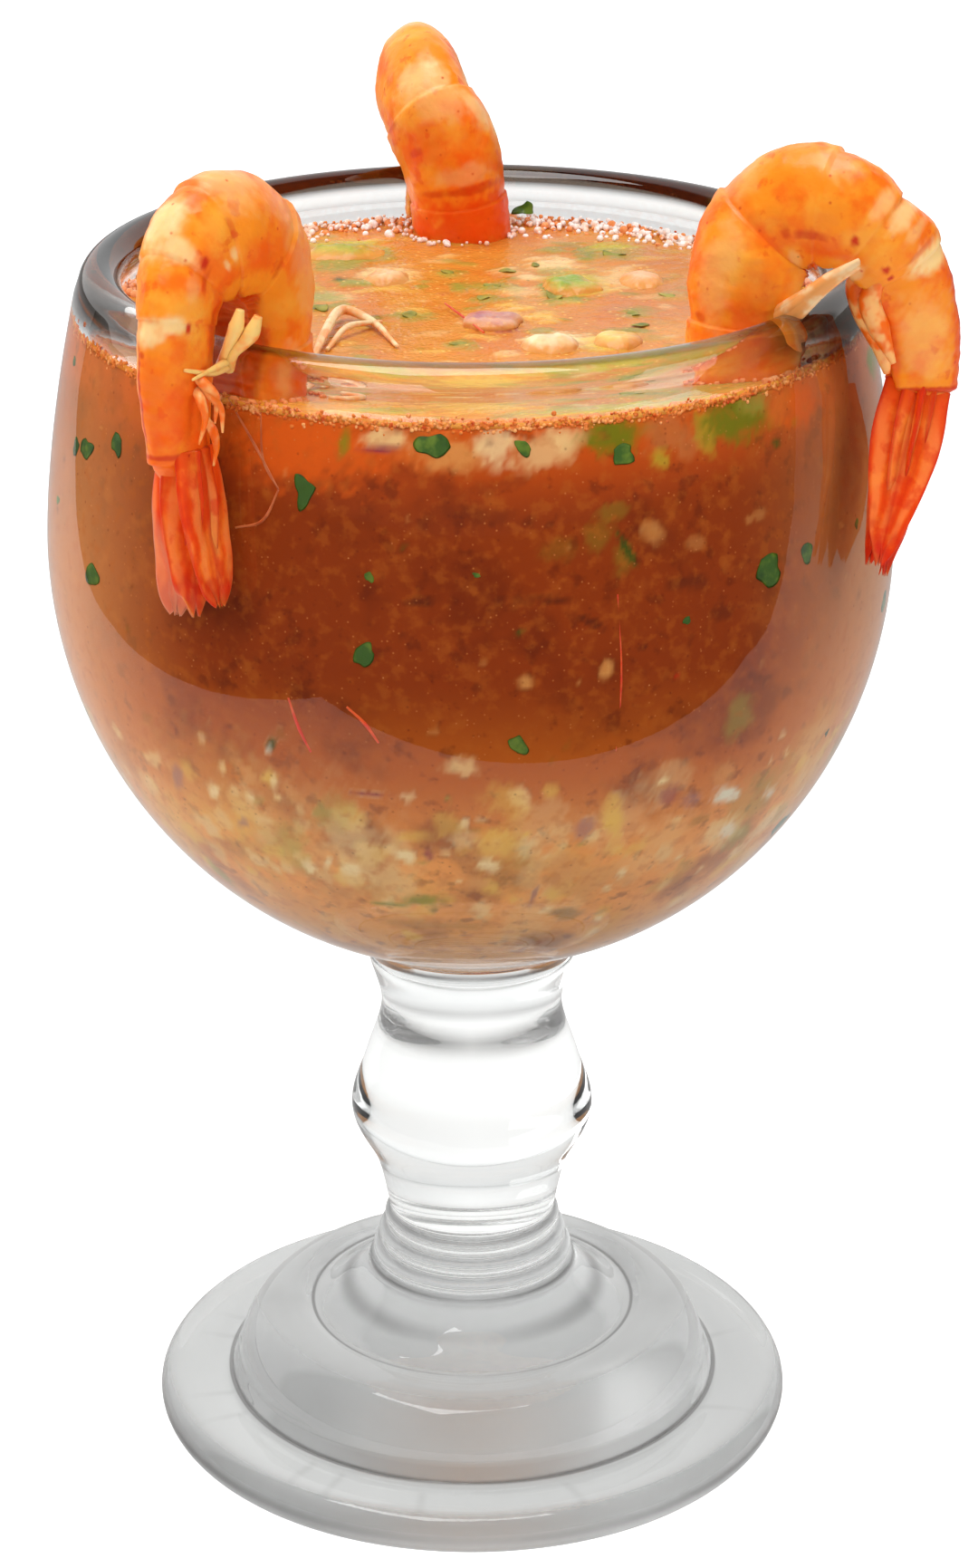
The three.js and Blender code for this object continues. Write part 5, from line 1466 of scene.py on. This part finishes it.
def make_floor():
    """A pale floor, which the camera sees burnt almost white, and the edge of the white table in
    front, past which reflections see a dark room."""
    finish = Finish("floor", shade(196, 196, 196), Roughness=0.7)
    finish.shader.inputs["Emission Color"].default_value = (1, 1, 1, 1)
    path = add(finish.tree, "ShaderNodeLightPath")
    glow = None
    for ray, strength in FLOOR_GLOW.items():
        part = add(finish.tree, "ShaderNodeMath", operation="MULTIPLY_ADD", in_1=strength, in_2=0.0)
        link(finish.tree, path.outputs[ray], part.inputs[0])
        if glow:
            link(finish.tree, glow, part.inputs[2])
        glow = part.outputs[0]
    link(finish.tree, glow, finish.shader.inputs["Emission Strength"])
    far = FLOOR_REACH
    flat_card("floor", [(-far, -far), (far, -far), (far, far), (-far, far)], FLOOR_LEVEL, finish)
    table_edge = [(-far, far), (-far, -far), (far, -far), (far, 1.2), *TABLE_EDGE]
    dark = Finish("dark_room", shade(20, 18, 18), Roughness=0.9)
    room = flat_card("dark_room", table_edge, DARK_LEVEL, dark)
    for seen in ("visible_camera", "visible_diffuse", "visible_transmission", "visible_shadow"):
        setattr(room, seen, False)


# The soft lights: place and size in metres, power in watts, and whether the glass reflects it
LIGHTS = {
    "overhead": ((-0.1, -0.05, 1.2), (0.7, 0.7), 9, True),
    "left_side": ((-0.9, 0.34, 0.35), (0.5, 0.7), 4, False),
    "front_left": ((-0.5, -0.9, 0.75), (0.6, 0.6), 5, False),
    "right_side": ((0.9, -0.4, 0.6), (0.5, 0.8), 4, False),
}


def softbox(name, place, size, power, reflected):
    """A rectangular area light aimed at the middle of the whole."""
    light = bpy.data.lights.new(name, "AREA")
    light.shape = "RECTANGLE"
    light.size, light.size_y = size
    light.energy = power
    lamp = bpy.data.objects.new(name, light)
    lamp.location = place
    lamp.visible_glossy = reflected
    bpy.context.scene.collection.objects.link(lamp)
    direction = (CAD_BOX[0] + CAD_BOX[1]) / 2 - lamp.location
    lamp.rotation_euler = direction.to_track_quat("-Z", "Y").to_euler()


DARK_AZIMUTH = -78
THROUGH_GLASS = 0.45  # how much of the dark room turns white where it is seen through glass


def make_surroundings():
    """White walls behind and at the left, and a dark room in front and at the right: brightness
    follows how far a direction leans towards the room. Seen directly, all of it is white, and
    through glass it is lighter too."""
    world = bpy.data.worlds.new("surroundings")
    world.use_nodes = True
    tree = world.node_tree
    sky = tree.nodes["Background"]
    sky.inputs["Color"].default_value = (1, 1, 1, 1)
    place = add(tree, "ShaderNodeTexCoord")
    lean = add(tree, "ShaderNodeVectorMath", operation="DOT_PRODUCT", in_1=polar(DARK_AZIMUTH, 1, 0))
    spread = add(tree, "ShaderNodeMapRange", interpolation_type="SMOOTHSTEP")
    for label, value in {"From Min": -0.52, "From Max": -0.38, "To Min": 0.95, "To Max": 0.05}.items():
        spread.inputs[label].default_value = value
    path = add(tree, "ShaderNodeLightPath")
    through = add(tree, "ShaderNodeMath", operation="MULTIPLY_ADD", in_1=THROUGH_GLASS)
    seen = add(tree, "ShaderNodeMix", data_type="FLOAT", in_3=1.0)
    link(tree, place.outputs["Generated"], lean.inputs[0])
    link(tree, lean.outputs["Value"], spread.inputs["Value"])
    link(tree, path.outputs["Is Transmission Ray"], through.inputs[0])
    link(tree, path.outputs["Is Camera Ray"], through.inputs[2])
    link(tree, through.outputs[0], seen.inputs[0])
    link(tree, spread.outputs["Result"], seen.inputs[2])
    link(tree, seen.outputs[0], sky.inputs["Strength"])
    bpy.context.scene.world = world


CAMERA_PLACE = np.array([2.75, -600.0, 357.3])
CAMERA_DOWN = 22.53  # degrees below level
CAMERA_LENS = 96.0


def make_camera():
    """The camera, in front of the goblet and above it, looking down at it."""
    lens = bpy.data.cameras.new("camera")
    lens.lens = CAMERA_LENS
    lens.sensor_width = 36.0
    lens.clip_start = 10 * MM
    camera = bpy.data.objects.new("camera", lens)
    camera.location = (CAMERA_PLACE + AXIS) * MM
    camera.rotation_euler = (math.radians(90 - CAMERA_DOWN), 0, 0)
    bpy.context.scene.collection.objects.link(camera)
    bpy.context.scene.camera = camera


make_floor()
make_surroundings()
for light_name, settings in LIGHTS.items():
    softbox(light_name, *settings)
bpy.context.scene.view_settings.view_transform = "Standard"
make_camera()
